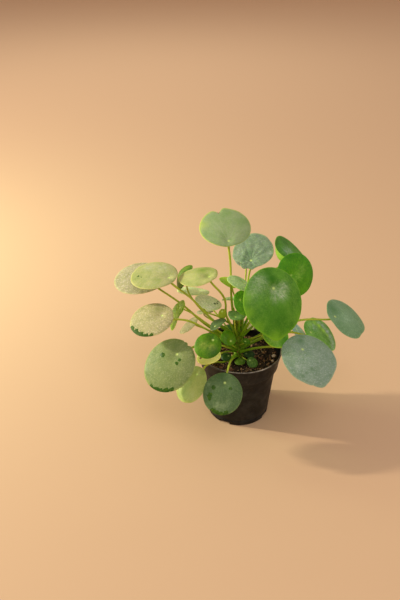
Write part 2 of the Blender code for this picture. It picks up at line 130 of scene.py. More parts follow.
# A small low key far off to the left, so that shadows run right with crisp sides and fade as they go
lamp("key_lamp", (-2.7, 0.43, 1.28), (0.2, 0.5, 0.0), 0.1, 0.2, 63, (1.0, 0.88, 0.7))
lamp("glow_lamp", (-1.15, 0.35, 0.45), (-0.6, 0.4, 0.0), 0.3, 0.5, 7, (0.84, 1.0, 0.7))
lamp("front_lamp", (0.4, -1.3, 2.1), (0, 0.3, 0.1), 1.4, 1.4, 13, (1.0, 0.95, 0.92))
lamp("backdrop_lamp", (-0.4, 2.5, 1.9), (-0.4, 3.3, 0.0), 1.8, 1.0, 13, (0.95, 0.96, 0.88))

world = bpy.data.worlds.new("studio")
world.use_nodes = True
world.node_tree.nodes["Background"].inputs["Color"].default_value = (1.0, 0.82, 0.78, 1)
world.node_tree.nodes["Background"].inputs["Strength"].default_value = 0.515
scene.world = world


# ---- materials

class Finish:
    """A Principled material and short ways to add its pattern nodes."""

    def __init__(self, name, roughness=0.5, specular=0.5):
        self.material = bpy.data.materials.new(name)
        self.material.use_nodes = True
        self.tree = self.material.node_tree
        self.shader = self.tree.nodes["Principled BSDF"]
        self.shader.inputs["Roughness"].default_value = roughness
        self.shader.inputs["Specular IOR Level"].default_value = specular
        self.place = self.add("TexCoord", "Object", {})

    def add(self, kind, output, inputs, **settings):
        """A new node, each of its inputs a value or another node's output."""
        node = self.tree.nodes.new("ShaderNode" + kind)
        for name, value in settings.items():
            setattr(node, name, value)
        for name, value in inputs.items():
            if isinstance(value, bpy.types.NodeSocket):
                self.tree.links.new(value, node.inputs[name])
            else:
                node.inputs[name].default_value = value
        return node.outputs[output]

    def drive(self, name, output):
        self.tree.links.new(output, self.shader.inputs[name])

    def attribute(self, name, output="Fac"):
        return self.add("Attribute", output, {}, attribute_name=name)

    def grain(self, scale, detail, roughness, stretch=None):
        place = self.place
        if stretch:
            place = self.add("Mapping", "Vector", {"Scale": stretch, "Vector": place})
        return self.add("TexNoise", "Fac", {
            "Scale": scale, "Detail": detail, "Roughness": roughness, "Vector": place})

    def clouds(self, scale, detail, roughness, low, high, least=0.0, most=1.0, stretch=None):
        """Grain eased from least to most as it goes from low to high."""
        return self.between(self.grain(scale, detail, roughness, stretch), low, high, least, most)

    def cells(self, scale):
        return self.add("TexVoronoi", "Distance", {"Scale": scale, "Vector": self.place})

    def between(self, value, low, high, to_low=0.0, to_high=1.0):
        return self.add("MapRange", "Result", {
            "Value": value, "From Min": low, "From Max": high, "To Min": to_low, "To Max": to_high,
        }, interpolation_type="SMOOTHSTEP")

    def times(self, first, second):
        return self.add("Math", "Value", {0: first, 1: second}, operation="MULTIPLY")

    def plus(self, first, second):
        return self.add("Math", "Value", {0: first, 1: second}, operation="ADD")

    def mix(self, share, first, second, way="MIX"):
        """Goes from the first colour to the second as the share goes from 0 to 1."""
        first, second = ((*value, 1.0) if isinstance(value, tuple) else value for value in (first, second))
        return self.add("Mix", 2, {0: share, 6: first, 7: second}, data_type="RGBA", blend_type=way)

    def bump(self, height, strength, distance):
        self.drive("Normal", self.add("Bump", "Normal", {
            "Height": height, "Strength": strength, "Distance": distance}))


# Colours that every leaf shares
# Pale colour of the waxy bloom, also used as painted sheen
BLOOM_AND_SHEEN = (0.46, 0.54, 0.42)
SEAT = (0.68, 0.88, 0.26)
WET_DARK = (0.026, 0.095, 0.003)
WET_LIGHT = (0.075, 0.155, 0.008)
SCAR = (0.24, 0.13, 0.035)
STALK = (0.47, 0.57, 0.05)
STALK_FOOT = (0.18, 0.38, 0.01)
STALK_STREAK = (0.2, 0.36, 0.01)
VEIN_SHARE = 0.24


def leaf_finish(name, face, deep, pale, under, rim, speckle, roughness, patches):
    """Waxy leaf: two greens in soft patches, speckle, veins, pale seat, wet spots, bloom with painted
    sheen, painted light and shade, a painted backlit margin and a tint that also paints light.
    """
    f = Finish(name, roughness, 0.2)
    colour = f.mix(f.clouds(70, 4, 0.65, 0.34, 0.66, 0.0, patches), face, deep)
    colour = f.mix(f.clouds(190, 3, 0.6, 0.45, 0.75, 0.0, 0.5 * speckle), colour, pale)
    colour = f.mix(f.clouds(520, 2, 0.7, 0.5, 0.64, 0.0, 1.2 * speckle), colour, pale)
    colour = f.mix(f.between(f.cells(380), 0.0, 0.24, 0.8 * speckle, 0.0), colour, deep)
    colour = f.mix(f.times(f.attribute("vein"), VEIN_SHARE), colour, pale)
    colour = f.mix(f.attribute("crease"), colour, deep)
    # Pale waxy bloom, partly painted sheen of light off the wax, broken up by grain
    bloom_and_sheen = f.times(f.attribute("bloom_and_sheen"), f.clouds(260, 4, 0.7, 0.34, 0.66, 0.35, 1.1))
    colour = f.mix(bloom_and_sheen, colour, BLOOM_AND_SHEEN)
    # Patches of painted shade in the deep green, which also gives some of the leaf's own deeper green,
    # patches of painted light and the margin's painted backlight in the rim colour, and the underside
    # colour
    for mark, mark_colour in (("deep_green_and_painted_shade", deep), ("painted_light", rim), ("rim", rim), ("under", under)):
        colour = f.mix(f.attribute(mark), colour, mark_colour)
    # Each leaf's tint: its own hue and painted light, lighter or darker by how light falls on that leaf
    colour = f.mix(1.0, colour, f.attribute("hue_and_painted_light", "Color"), "MULTIPLY")
    colour = f.mix(f.attribute("seat"), colour, SEAT)
    ragged = f.plus(f.attribute("wet"), f.clouds(300, 3, 0.6, 0.25, 0.75, -0.28, 0.28))
    wet = f.between(ragged, 0.36, 0.5)
    colour = f.mix(wet, colour, f.mix(f.clouds(600, 2, 0.6, 0.45, 0.65), WET_DARK, WET_LIGHT))
    colour = f.mix(f.between(f.attribute("scar"), 0.25, 0.6), colour, SCAR)
    along = f.attribute("along")
    stalk = f.mix(f.between(along, 0.3, 1.0), STALK, STALK_FOOT)
    stalk = f.mix(f.clouds(260, 2, 0.5, 0.45, 0.7, 0.0, 0.35, (1, 1, 0.2)), stalk, STALK_STREAK)
    colour = f.mix(f.between(along, -0.02, 0.01), colour, stalk)
    f.drive("Base Color", colour)
    rough = f.clouds(120, 3, 0.6, 0.3, 0.7, roughness - 0.05, roughness + 0.08)
    f.drive("Roughness", f.plus(f.plus(rough, f.times(bloom_and_sheen, 0.15)), f.times(wet, -0.12)))
    f.shader.inputs["Subsurface Weight"].default_value = 0.2
    f.shader.inputs["Subsurface Radius"].default_value = (0.9, 1.0, 0.25)
    f.shader.inputs["Subsurface Scale"].default_value = 1.2 * MM
    f.bump(f.plus(f.grain(900, 2, 0.6), f.times(f.cells(420), 0.8)), 0.35, 0.4 * MM)
    return f.material


# Face, deep, pale, under and rim colours, then speckle, roughness and share of patches; deep also paints
# shade, and rim paints light and backlit margins
LEAF_COLOURS = {
    "fresh": ((0.085, 0.26, 0.014), (0.035, 0.16, 0.004), (0.24, 0.42, 0.07), (0.32, 0.46, 0.05),
              (0.22, 0.46, 0.02), 0.22, 0.42, 0.9),
    "blue": ((0.19, 0.28, 0.16), (0.085, 0.18, 0.065), (0.4, 0.48, 0.34), (0.33, 0.42, 0.17),
             (0.32, 0.42, 0.2), 0.32, 0.5, 0.4),
    "yellow": ((0.42, 0.47, 0.16), (0.2, 0.32, 0.05), (0.6, 0.62, 0.34), (0.45, 0.5, 0.14),
               (0.62, 0.65, 0.2), 0.22, 0.45, 0.55),
    "dusty": ((0.4, 0.4, 0.21), (0.26, 0.3, 0.12), (0.72, 0.68, 0.5), (0.42, 0.46, 0.18),
              (0.6, 0.62, 0.24), 0.5, 0.6, 0.55),
    "grey": ((0.22, 0.28, 0.1), (0.12, 0.2, 0.045), (0.44, 0.47, 0.24), (0.36, 0.43, 0.14),
             (0.42, 0.5, 0.12), 0.33, 0.5, 0.55),
    "top": ((0.27, 0.37, 0.15), (0.17, 0.3, 0.07), (0.42, 0.5, 0.28), (0.36, 0.43, 0.14),
            (0.52, 0.62, 0.08), 0.15, 0.48, 0.55),
    "dark": ((0.035, 0.1, 0.015), (0.016, 0.055, 0.006), (0.16, 0.26, 0.09), (0.2, 0.28, 0.08),
             (0.14, 0.26, 0.05), 0.3, 0.44, 0.9),
}
FINISHES = {name: leaf_finish("leaf_" + name, *values) for name, values in LEAF_COLOURS.items()}


def plastic_finish():
    """Black plastic with dust, streaks down its side, scuffs and a pale lip, partly wear and partly a
    painted highlight.
    """
    f = Finish("pot_plastic", 0.45, 0.26)
    dust = f.clouds(48, 5, 0.7, 0.42, 0.7)
    colour = f.mix(dust, (0.0012, 0.0018, 0.0015), (0.0195, 0.0215, 0.0185))
    streaks = f.clouds(90, 3, 0.6, 0.5, 0.8, 0.0, 0.35, (1, 1, 0.08))
    colour = f.mix(streaks, colour, (0.045, 0.04, 0.034))
    scuffs = f.clouds(420, 2, 0.5, 0.66, 0.76, 0.0, 0.4, (0.25, 0.25, 1.6))
    colour = f.mix(scuffs, colour, (0.1, 0.082, 0.065))
    # Pale lip: wear along the rim together with a painted highlight where light catches it
    lip_wear_and_highlight = f.times(f.attribute("lip_wear_and_highlight"), f.clouds(60, 3, 0.7, 0.35, 0.65, 0.15, 1.0))
    colour = f.mix(lip_wear_and_highlight, colour, (0.7, 0.62, 0.52))
    f.drive("Base Color", colour)
    f.drive("Roughness", f.clouds(90, 4, 0.6, 0.3, 0.7, 0.4, 0.58))
    f.bump(f.grain(700, 3, 0.6), 0.2, 0.3 * MM)
    return f.material


def peat_finish(name, dark, brown, light, lightest):
    """Loose peat: dark and brown clouds with light flecks, made lighter by the tone attribute."""
    f = Finish(name, 0.95, 0.25)
    colour = f.mix(f.clouds(230, 5, 0.7, 0.36, 0.62), dark, brown)
    colour = f.mix(f.between(f.cells(520), 0.0, 0.3, 0.65, 0.0), colour, light)
    colour = f.mix(f.between(f.attribute("tone"), 0.3, 1.0), colour, light)
    colour = f.mix(f.between(f.attribute("tone"), 1.2, 1.9), colour, lightest)
    f.drive("Base Color", colour)
    f.drive("Roughness", f.clouds(300, 3, 0.5, 0.3, 0.7, 0.8, 1.0))
    f.bump(f.grain(900, 5, 0.7), 0.7, 0.8 * MM)
    return f.material


def speckled_finish(name, first, second, third, scale, roughness):
    """Clouds of two colours with small specks of a third."""
    f = Finish(name, roughness, 0.35)
    colour = f.mix(f.clouds(scale, 4, 0.65, 0.35, 0.65), first, second)
    colour = f.mix(f.between(f.cells(scale * 3), 0.0, 0.3, 0.5, 0.0), colour, third)
    f.drive("Base Color", colour)
    f.drive("Roughness", f.clouds(scale * 2, 3, 0.5, 0.3, 0.7, roughness - 0.1, roughness + 0.08))
    f.bump(f.grain(scale * 6, 4, 0.6), 0.5, 0.4 * MM)
    return f.material


POT = plastic_finish()
PEAT = peat_finish("peat", (0.006, 0.004, 0.003), (0.042, 0.025, 0.012), (0.32, 0.185, 0.088),
                   (0.62, 0.44, 0.28))
PEBBLE = speckled_finish("pebble", (0.98, 0.8, 0.62), (0.85, 0.6, 0.42), (0.5, 0.32, 0.2), 260, 0.8)
BARK = speckled_finish("bark", (0.17, 0.075, 0.037), (0.07, 0.03, 0.013), (0.32, 0.18, 0.09), 300, 0.85)
STEM = speckled_finish("stem_bark", (0.24, 0.38, 0.012), (0.12, 0.22, 0.008), (0.36, 0.42, 0.06), 240, 0.7)
SCALE = speckled_finish("stipule", (0.5, 0.22, 0.07), (0.28, 0.11, 0.035), (0.55, 0.36, 0.14), 300, 0.7)
BUD = speckled_finish("bud", (0.42, 0.42, 0.06), (0.26, 0.3, 0.03), (0.5, 0.3, 0.08), 300, 0.5)


# ---- small helpers for every piece

WELD = 0.01 * MM


def label(mesh, name, values, kind="FLOAT"):
    """Stores one value, or one colour, at each point of a mesh."""
    layer = mesh.attributes.new(name, kind, "POINT")
    field = "value" if kind == "FLOAT" else "color"
    layer.data.foreach_set(field, np.asarray(values, np.float32).ravel())


def apply_modifier(obj, kind, **settings):
    only(obj)
    modifier = obj.modifiers.new(kind.lower(), kind)
    for key, value in settings.items():
        setattr(modifier, key, value)
    bpy.ops.object.modifier_apply(modifier=modifier.name)


def finished(obj, finish, nodes_it_stands_for=()):
    """Gives a piece its finish and shading and ties it to the still body."""
    obj.data.materials.clear()
    obj.data.materials.append(finish)
    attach(obj, "root")
    if nodes_it_stands_for:
        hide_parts(*nodes_it_stands_for)
    return obj


def points_of(obj):
    points = np.empty(len(obj.data.vertices) * 3)
    obj.data.vertices.foreach_get("co", points)
    return points.reshape(-1, 3)


def set_points(obj, points):
    obj.data.vertices.foreach_set("co", np.asarray(points).ravel())
    obj.data.update()


def step_between(value, low, high):
    """Eases from 0 to 1 as the value goes from low to high."""
    share = np.clip((value - low) / (high - low), 0, 1)
    return share * share * (3 - 2 * share)


def fade_between(value, low, high):
    """Eases from 1 to 0 as the value goes from low to high."""
    return step_between(-value, -high, -low)


def hump(distance, width):
    """A smooth bump, 1 in the middle and about a third at the width."""
    return np.exp(-((distance / width) ** 2))


def on_circle(angles):
    return np.stack([np.cos(angles), np.sin(angles)], -1)


def unit(vectors):
    return vectors / np.linalg.norm(vectors, axis=-1, keepdims=True)


def lumps(points, scale, seed):
    """Smooth noise at each (x, y) point, about -1 to 1."""
    return np.array([noise.noise(Vector((x / scale, y / scale, seed))) for x, y in points])


# ---- blanks, modelled once

def turned(name, profile, steps):
    """An object spun round +Z from (radius, height) points by extruding a point and spinning the line."""
    obj = made(name, bpy.ops.mesh.primitive_plane_add, size=1)
    with editing(obj):
        bpy.ops.mesh.merge(type="CENTER")
        bpy.ops.transform.translate(value=(profile[0][0], 0, profile[0][1]))
        for (x0, z0), (x1, z1) in zip(profile, profile[1:]):
            bpy.ops.mesh.extrude_region_move(TRANSFORM_OT_translate={"value": (x1 - x0, 0, z1 - z0)})
        bpy.ops.mesh.select_all(action="SELECT")
        bpy.ops.mesh.spin(steps=steps, angle=math.tau, center=(0, 0, 0), axis=(0, 0, 1))
        bpy.ops.mesh.select_all(action="SELECT")
        bpy.ops.mesh.remove_doubles(threshold=WELD)
        bpy.ops.mesh.normals_make_consistent(inside=False)
    return obj


# Levels and radii in a blank, whose blade has a radius of 1 and whose stalk is 1 long
UNDER_Z = -0.01
NECK_Z = -0.03
NECK_DEPTH = 0.02
STALK_Z = -0.1
RIM_START = 0.985
UNDER_START = 0.06
BLANK_STALK_RADIUS = 0.03
STALK_SIDES = 14


def leaf_blank(name, spokes, top_rings, under_rings, stalk_rings):
    """A flat round blade with a neck below it, bridged to a straight stalk that hangs down from it."""
    top = [(ring / top_rings, 0) for ring in range(top_rings)]
    rim = [(RIM_START, 0), (0.996, -0.002), (1.0, -0.005), (0.996, -0.008), (RIM_START, UNDER_Z)]
    under = [(1 - (1 - UNDER_START) * ring / under_rings, UNDER_Z) for ring in range(1, under_rings + 1)]
    neck = [(0.05 - 0.01 * share, NECK_Z - NECK_DEPTH * share) for share in (0, 0.5, 1)]
    end = STALK_Z - 1
    stalk = [(BLANK_STALK_RADIUS, STALK_Z - ring / stalk_rings) for ring in range(stalk_rings)]
    stalk += [(BLANK_STALK_RADIUS, end + 0.004), (0.024, end + 0.0015), (0.012, end), (0, end)]
    blank = joined([turned(name, top + rim + under + neck, spokes), turned("stalk", stalk, STALK_SIDES)])
    with editing(blank, "EDGE", "DESELECT"):
        bpy.ops.mesh.select_non_manifold(extend=False, use_wire=False, use_boundary=True,
                                         use_multi_face=False, use_non_contiguous=False, use_verts=False)
        bpy.ops.mesh.bridge_edge_loops()
        bpy.ops.mesh.select_all(action="SELECT")
        bpy.ops.mesh.normals_make_consistent(inside=False)
    return blank


# One blank, and one thickness, for each number of spokes in a packed blade
BLANKS = {
    16: leaf_blank("blank_large", 120, 34, 12, 30),
    12: leaf_blank("blank_medium", 84, 24, 9, 24),
    10: leaf_blank("blank_small", 60, 16, 7, 18),
}
THICKNESS = {16: 0.85 * MM, 12: 0.7 * MM, 10: 0.5 * MM}
PACKED_STALK_SIDES = 6


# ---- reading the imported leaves

def layers_from(start, most=99):
    """Rings of vertices at one, two, three ... edges from the starting ones."""
    seen, ring, layers = set(start), list(start), []
    while ring and len(layers) < most:
        following = []
        for vert in ring:
            for edge in vert.link_edges:
                other = edge.other_vert(vert)
                if other not in seen:
                    seen.add(other)
                    following.append(other)
        ring = following
        if ring:
            layers.append(ring)
    return layers


class PackedLeaf:
    """Seat, facing, three rings and the stalk's middle line of a packed leaf, found from its mesh."""

    def __init__(self, node):
        bm = bmesh.new()
        bm.from_mesh(nodes[node].data)
        bmesh.ops.remove_doubles(bm, verts=bm.verts, dist=1e-6)
        pole = next(vert for vert in bm.verts if len(vert.link_edges) in BLANKS and all(
            len(ring) == len(vert.link_edges) for ring in layers_from([vert], 3)))
        self.count = len(pole.link_edges)
        layers = layers_from([pole])
        self.seat = np.array(pole.co)
        normal = sum((face.normal for face in pole.link_faces), Vector())
        self.out = np.array(normal.normalized())
        first = np.array(layers[0][0].co) - self.seat
        first -= self.out * first.dot(self.out)
        self.ahead = unit(first)
        self.aside = np.cross(self.out, self.ahead)
        self.rings = [self.sorted_ring(ring) for ring in layers[:3]]
        stalk = [layers[-1]] + layers_from(layers[-1])
        centres, radii = [], []
        for ring in stalk:
            if len(ring) != PACKED_STALK_SIDES:
                break
            points = np.array([vert.co for vert in ring])
            centres.append(points.mean(0))
            radii.append(np.linalg.norm(points - points.mean(0), axis=1).mean())
        bm.free()
        self.centres, self.radii = centres, radii
        self.stalk_radius = float(np.median(radii))

    def local(self, points):
        """Coordinates ahead, aside and out of the seat."""
        away = np.asarray(points) - self.seat
        return np.stack([away @ self.ahead, away @ self.aside, away @ self.out], -1)

    def sorted_ring(self, ring):
        flat = self.local([vert.co for vert in ring])
        angles = np.arctan2(flat[:, 1], flat[:, 0]) % math.tau
        angles[angles > math.tau - 0.1] -= math.tau
        return flat[np.argsort(angles)]


def round_values(values, angles):
    """Smooth closed curve through evenly spaced values, read at any angle."""
    count = len(values)
    waves = np.fft.fft(values) / count
    turns = np.fft.fftfreq(count, 1 / count)
    return (waves * np.exp(1j * np.outer(angles, turns))).real.sum(1)


def cubic(t, width, values, slopes):
    """The curve between two values that leaves and arrives at the given slopes."""
    return ((2 * t**3 - 3 * t**2 + 1) * values[0] + (t**3 - 2 * t**2 + t) * width * slopes[0]
            + (-2 * t**3 + 3 * t**2) * values[1] + (t**3 - t**2) * width * slopes[1])


class Blade:
    """The smooth surface through a packed leaf's rings, in its own local coordinates."""

    MARKS = (0.0, 0.34, 0.72, 1.0)  # where the seat and the three rings lie along the reach

    def __init__(self, packed):
        self.rings = packed.rings
        self.reaches = np.hypot(packed.rings[2][:, 0], packed.rings[2][:, 1])

    def reach(self, angles):
        return round_values(self.reaches, angles)

    def height(self, share, angles):
        """Height over the seat plane: a cubic through the three rings with the right slope at the seat."""
        marks = self.MARKS
        values = [np.zeros_like(angles)] + [round_values(ring[:, 2], angles) for ring in self.rings]
        behind = round_values(self.rings[0][:, 2], angles + math.pi)
        near = marks[1] * self.reach(angles)
        far = marks[1] * self.reach(angles + math.pi)
        slope = (values[1] * far * far - behind * near * near) / (near * far * (near + far))
        slopes = [slope * self.reach(angles)]
        for i in (1, 2):
            before = (values[i] - values[i - 1]) / (marks[i] - marks[i - 1])
            after = (values[i + 1] - values[i]) / (marks[i + 1] - marks[i])
            weight = (marks[i + 1] - marks[i]) / (marks[i + 1] - marks[i - 1])
            slopes.append(before * weight + after * (1 - weight))
        slopes.append(2 * (values[3] - values[2]) / (marks[3] - marks[2]) - slopes[2])
        found = np.zeros_like(share)
        for i in range(3):
            width = marks[i + 1] - marks[i]
            t = (share - marks[i]) / width
            inside = (share >= marks[i]) & ((share < marks[i + 1]) | (i == 2))
            found = np.where(inside, cubic(t, width, values[i:i + 2], slopes[i:i + 2]), found)
        return found

    def point(self, share, angles):
        reach = share * self.reach(angles)
        return np.stack([reach * np.cos(angles), reach * np.sin(angles), self.height(share, angles)], -1)

    def normal(self, share, angles):
        share = np.clip(share, 0.02, 1.0)
        nudge = 0.01
        outward = self.point(share + nudge, angles) - self.point(share - nudge, angles)
        around = self.point(share, angles + nudge) - self.point(share, angles - nudge)
        return unit(np.cross(outward, around))


def stalk_line(packed, thickness):
    """Points down the middle of the stalk from under the blade to inside the stem, with radii."""
    radius = packed.stalk_radius
    start = packed.seat - packed.out * (thickness + 1.5 * radius)
    stops = [start]
    radii = [radius * 1.02]
    for centre, ring_radius in list(zip(packed.centres, packed.radii))[::-1]:
        if (packed.seat - centre) @ packed.out > thickness + 2.6 * radius or (
            np.linalg.norm(centre - packed.seat) > 7 * MM
        ):
            stops.append(centre)
            radii.append(min(ring_radius, 1.3 * radius))
    stops.append(stops[-1] + unit(stops[-1] - stops[-2]) * 1.6 * MM)
    radii.append(radii[-1] * 1.08)
    stops, radii = np.array(stops), np.array(radii)
    lengths = np.concatenate([[0], np.cumsum(np.linalg.norm(np.diff(stops, axis=0), axis=1))])
    return stops, radii, lengths / lengths[-1]


def spline_at(marks, values, where):
    """Points on the smooth line through values that stand at unevenly spaced marks."""
    slopes = np.gradient(values, marks, axis=0)
    index = np.clip(np.searchsorted(marks, where, side="right") - 1, 0, len(marks) - 2)
    width = marks[index + 1] - marks[index]
    t = ((where - marks[index]) / width)[:, None]
    return cubic(t, width[:, None], (values[index], values[index + 1]), (slopes[index], slopes[index + 1]))


# ---- fine leaves

def bearing_from(start, angles):
    """The angles counted from a start, between -pi and pi."""
    return (angles - start + math.pi) % math.tau - math.pi


def hump_at(where, width, bearing):
    """A hump at one bearing and of one width, both in degrees."""
    return hump(bearing_from(math.radians(where), bearing), math.radians(width))


MAIN_VEINS = (0, 26, -27, 55, -52, 88, -84, 125, -121, 163, -160)


def vein_marks(distance, bearing, share, seed, width):
    """How strongly each point lies on a vein: main veins from the seat, and forks off them."""
    marks = np.zeros_like(distance)
    rng = np.random.default_rng(seed)

    def nearness(line, own_width):
        off = bearing_from(line, bearing)
        behind = np.abs(off) > 1
        return hump(np.abs(distance * np.sin(off)) + behind, own_width)

    for main in MAIN_VEINS:
        main = math.radians(main + rng.uniform(-5, 5))
        line = main - 0.12 * math.sin(main) * share
        own_width = width * (1.25 - 0.75 * np.clip(share, 0, 1))
        marks = np.maximum(marks, nearness(line, own_width) * fade_between(share, 0.75, 0.97))
        for fork in (1, -1):
            for start in (0.3, 0.56):
                start += rng.uniform(-0.05, 0.05)
                spread = fork * (0.3 + 0.1 * rng.random()) * np.clip(share - start, 0, 1) ** 0.8
                faint = 0.6 * step_between(share, start, start + 0.05) * fade_between(share, 0.7, 0.93)
                marks = np.maximum(marks, nearness(line + spread, 0.6 * width) * faint)
    return marks


def patch(ahead, aside, spots):
    """Strength of soft-edged blots, each (ahead, aside, radius, strength) in millimetres."""
    strength = np.zeros_like(ahead)
    for x, y, radius, most in spots:
        strength = np.maximum(strength, most * hump(np.hypot(ahead - x * MM, aside - y * MM), radius * MM))
    return strength


MARGIN_WAVE = 0.012
MARGIN_ROLL = 0.4 * MM


def uneven_margin(angle, bearing, reach, seed, point, nicks):
    """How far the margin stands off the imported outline, as a share of the reach."""
    around = on_circle(angle)
    uneven = MARGIN_WAVE * (lumps(around, 0.45, seed) + 0.3 * lumps(around, 0.12, seed + 1.0))
    uneven += point * (hump(bearing, 0.16) - 0.3 * hump(np.abs(bearing) - 0.42, 0.2))
    for where, width, depth in nicks:
        uneven -= depth * MM / reach * hump_at(where, width, bearing)
    return uneven


def stalk_places(packed, thickness, along, turn, radius, seed):
    """Points of the stalk, carried down its middle line without twisting."""
    stops, radii, marks = stalk_line(packed, thickness)
    stations, station = np.unique(np.round(along, 5), return_inverse=True)
    line = spline_at(marks, stops, stations)
    heading = unit(np.gradient(line, axis=0))
    sideways = np.zeros_like(line)
    current = packed.ahead
    for i, direction in enumerate(heading):
        current = unit(current - direction * current.dot(direction))
        sideways[i] = current
    upward = np.cross(sideways, heading)
    groove = 1 - 0.07 * hump(np.abs(turn) - 1.2, 0.35)
    swell = 1 + 0.05 * np.sin(stations * 9 + seed) + 0.25 * hump(1 - stations, 0.05)
    girth = (np.interp(stations, marks, radii) * swell)[station] * groove
    girth *= np.clip(radius / BLANK_STALK_RADIUS, 0, 1)
    return (line[station] + sideways[station] * (girth * np.cos(turn))[:, None]
            + upward[station] * (girth * np.sin(turn))[:, None])


def grow(node, finish, seed, hue_and_painted_light=(1, 1, 1), vein=0.06, ripple=0.22, crease=0.0, rim=0.5, backlit_side=None,
         pale_seat=1.0, point=0.0, funnel=(0.8, 6), belly=None, tilt=None, nicks=(),
         bloom_and_sheen=(), deep_green_and_painted_shade=(), painted_light=(), wet=(), scars=()):
    """A fine leaf in the place of a packed one.

    vein, ripple, funnel, belly and tilt shape the face, in millimetres, and point and nicks its margin.
    bloom_and_sheen (bloom with painted sheen), deep_green_and_painted_shade, painted_light, wet and scars
    are spots, placed in millimetres from the seat towards the tip. crease, rim and pale_seat say how
    strongly veins, margin and seat are coloured, the pale margin being painted backlight, and backlit_side
    which side of the margin is palest.
    hue_and_painted_light tints the whole leaf. Bearings are in degrees from the tip.
    """
    packed = PackedLeaf(node)
    surface = Blade(packed)
    mesh = BLANKS[packed.count].data.copy()
    obj = placed("fine_" + node, mesh)
    raw = points_of(obj)
    radius, level = np.hypot(raw[:, 0], raw[:, 1]), raw[:, 2]
    angle = np.arctan2(raw[:, 1], raw[:, 0])
    blade = level > 1.5 * UNDER_Z
    stalk = level <= 0.8 * STALK_Z
    neck = ~blade & ~stalk

    reach = surface.reach(angle)
    all_round = np.linspace(0, math.tau, 720, endpoint=False)
    tip = all_round[np.argmax(surface.reach(all_round))]
    bearing = bearing_from(tip, angle)
    size = float(surface.reaches.mean())
    thickness = THICKNESS[packed.count]
    neck_radius = 1.9 * packed.stalk_radius

    # Share of the way from the seat to the margin
    under = blade & (level < 0.95 * UNDER_Z) & (radius < 0.999 * RIM_START)
    spread = np.clip((radius - UNDER_START) / (1 - UNDER_START), 0, 1)
    share = np.where(under, (neck_radius + (reach - neck_radius) * spread) / reach, radius)
    grown = share * (1 + uneven_margin(angle, bearing, reach, seed, point, nicks) * share**3)

    # The face, its veins and its unevenness
    flat = surface.point(grown, angle)
    normal = surface.normal(grown, angle)
    distance = np.hypot(flat[:, 0], flat[:, 1])
    ahead, aside = distance * np.cos(bearing), distance * np.sin(bearing)
    from_seat = distance / reach
    veins = vein_marks(distance, bearing, from_seat, seed, 0.5 * MM + 0.01 * size)
    wide_veins = vein_marks(distance, bearing, from_seat, seed, 1.4 * MM + 0.04 * size)
    rays = np.clip(0.5 + lumps(on_circle(angle), 0.11, seed + 2.0), 0, 1)
    rays *= step_between(share, 0.05, 0.3) * fade_between(share, 0.7, 1)
    dimple = hump(distance, 2.4 * MM)
    spots = np.stack([ahead, aside], -1)
    pucker = lumps(spots, 0.33 * size, seed + 3.0) + 0.5 * lumps(spots, 0.16 * size, seed + 5.0)
    wet_marks = patch(ahead, aside, wet)
    face = ripple * MM * (pucker * step_between(share, 0, 0.35) - 0.35 * wide_veins) - vein * MM * veins
    face -= 0.625 * thickness * dimple
    face += funnel[0] * MM * (1 - hump(distance, funnel[1] * MM)) * fade_between(share, 0.3, 1)
    if belly:
        where, width, most = belly
        bulge = step_between(share, 0.25, 0.8) * fade_between(share, 0.8, 1)
        face -= most * MM * hump_at(where, width, bearing) * bulge
    if tilt:
        face += tilt[1] * MM * share * np.cos(bearing - math.radians(tilt[0]))
    face -= MARGIN_ROLL * step_between(share, 0.88, 1.0)
    face += 0.3 * MM * step_between(wet_marks, 0.35, 0.8)
    depth = np.clip(level / UNDER_Z, 0, 1)
    thick = thickness * (1 - 0.35 * step_between(share, 0.85, 1.0))
    bottom = face - thick - 0.28 * MM * veins * (1 - dimple)
    lift = np.where(blade, face * (1 - depth) + bottom * depth, 0)
    local = flat + normal * lift[:, None]

    # The neck under the seat, then the stalk
    fillet = np.clip((NECK_Z - level) / NECK_DEPTH, 0, 1)
    neck_reach = packed.stalk_radius * (1.62 - 0.6 * np.sqrt(fillet))
    neck_depth = thickness + packed.stalk_radius * (0.1 + 0.9 * fillet**1.5)
    neck_local = np.column_stack([neck_reach[:, None] * on_circle(angle), -neck_depth])
    local = np.where(neck[:, None], neck_local, local)
    places = packed.seat + local @ np.stack([packed.ahead, packed.aside, packed.out])
    along = np.clip(STALK_Z - level, 0, 1)
    places[stalk] = stalk_places(packed, thickness, along[stalk], angle[stalk], radius[stalk], seed)
    set_points(obj, places)

    top = np.where(blade, 1 - depth, 0)
    # Painted backlight: the pale margin is palest on the backlit side
    backlit_margin = 1 if backlit_side is None else 0.25 + 0.75 * np.cos(0.5 * (bearing - math.radians(backlit_side))) ** 2
    seat_radius = 1.15 * MM + 0.012 * size
    # Marks: pale bloom with painted sheen, patches of painted light and of painted shade mixed with the
    # leaf's own deeper green, and painted backlight along the margin
    for name, values in {
        "vein": blade * np.maximum(veins, 0.7 * rays),
        "crease": crease * np.maximum(veins, 0.6 * rays) * top,
        "bloom_and_sheen": patch(ahead, aside, bloom_and_sheen) * top * (0.6 + 0.8 * rays),
        "painted_light": patch(ahead, aside, painted_light) * top,
        "deep_green_and_painted_shade": patch(ahead, aside, deep_green_and_painted_shade) * top,
        "wet": wet_marks * top,
        "scar": patch(ahead, aside, scars) * blade,
        "rim": rim * backlit_margin * step_between(share, 0.945, 0.988) * blade,
        "under": np.where(blade, step_between(depth, 0.3, 0.8), 1),
        "seat": pale_seat * np.exp(-((distance / seat_radius) ** 3)) * top,
        "along": np.where(stalk, along, np.where(neck, 0.0, -0.1)),
    }.items():
        label(mesh, name, values)
    label(mesh, "hue_and_painted_light", np.tile((*hue_and_painted_light, 1.0), (len(raw), 1)), "FLOAT_COLOR")
    mesh.shade_smooth()
    return finished(obj, FINISHES[finish], (node,))


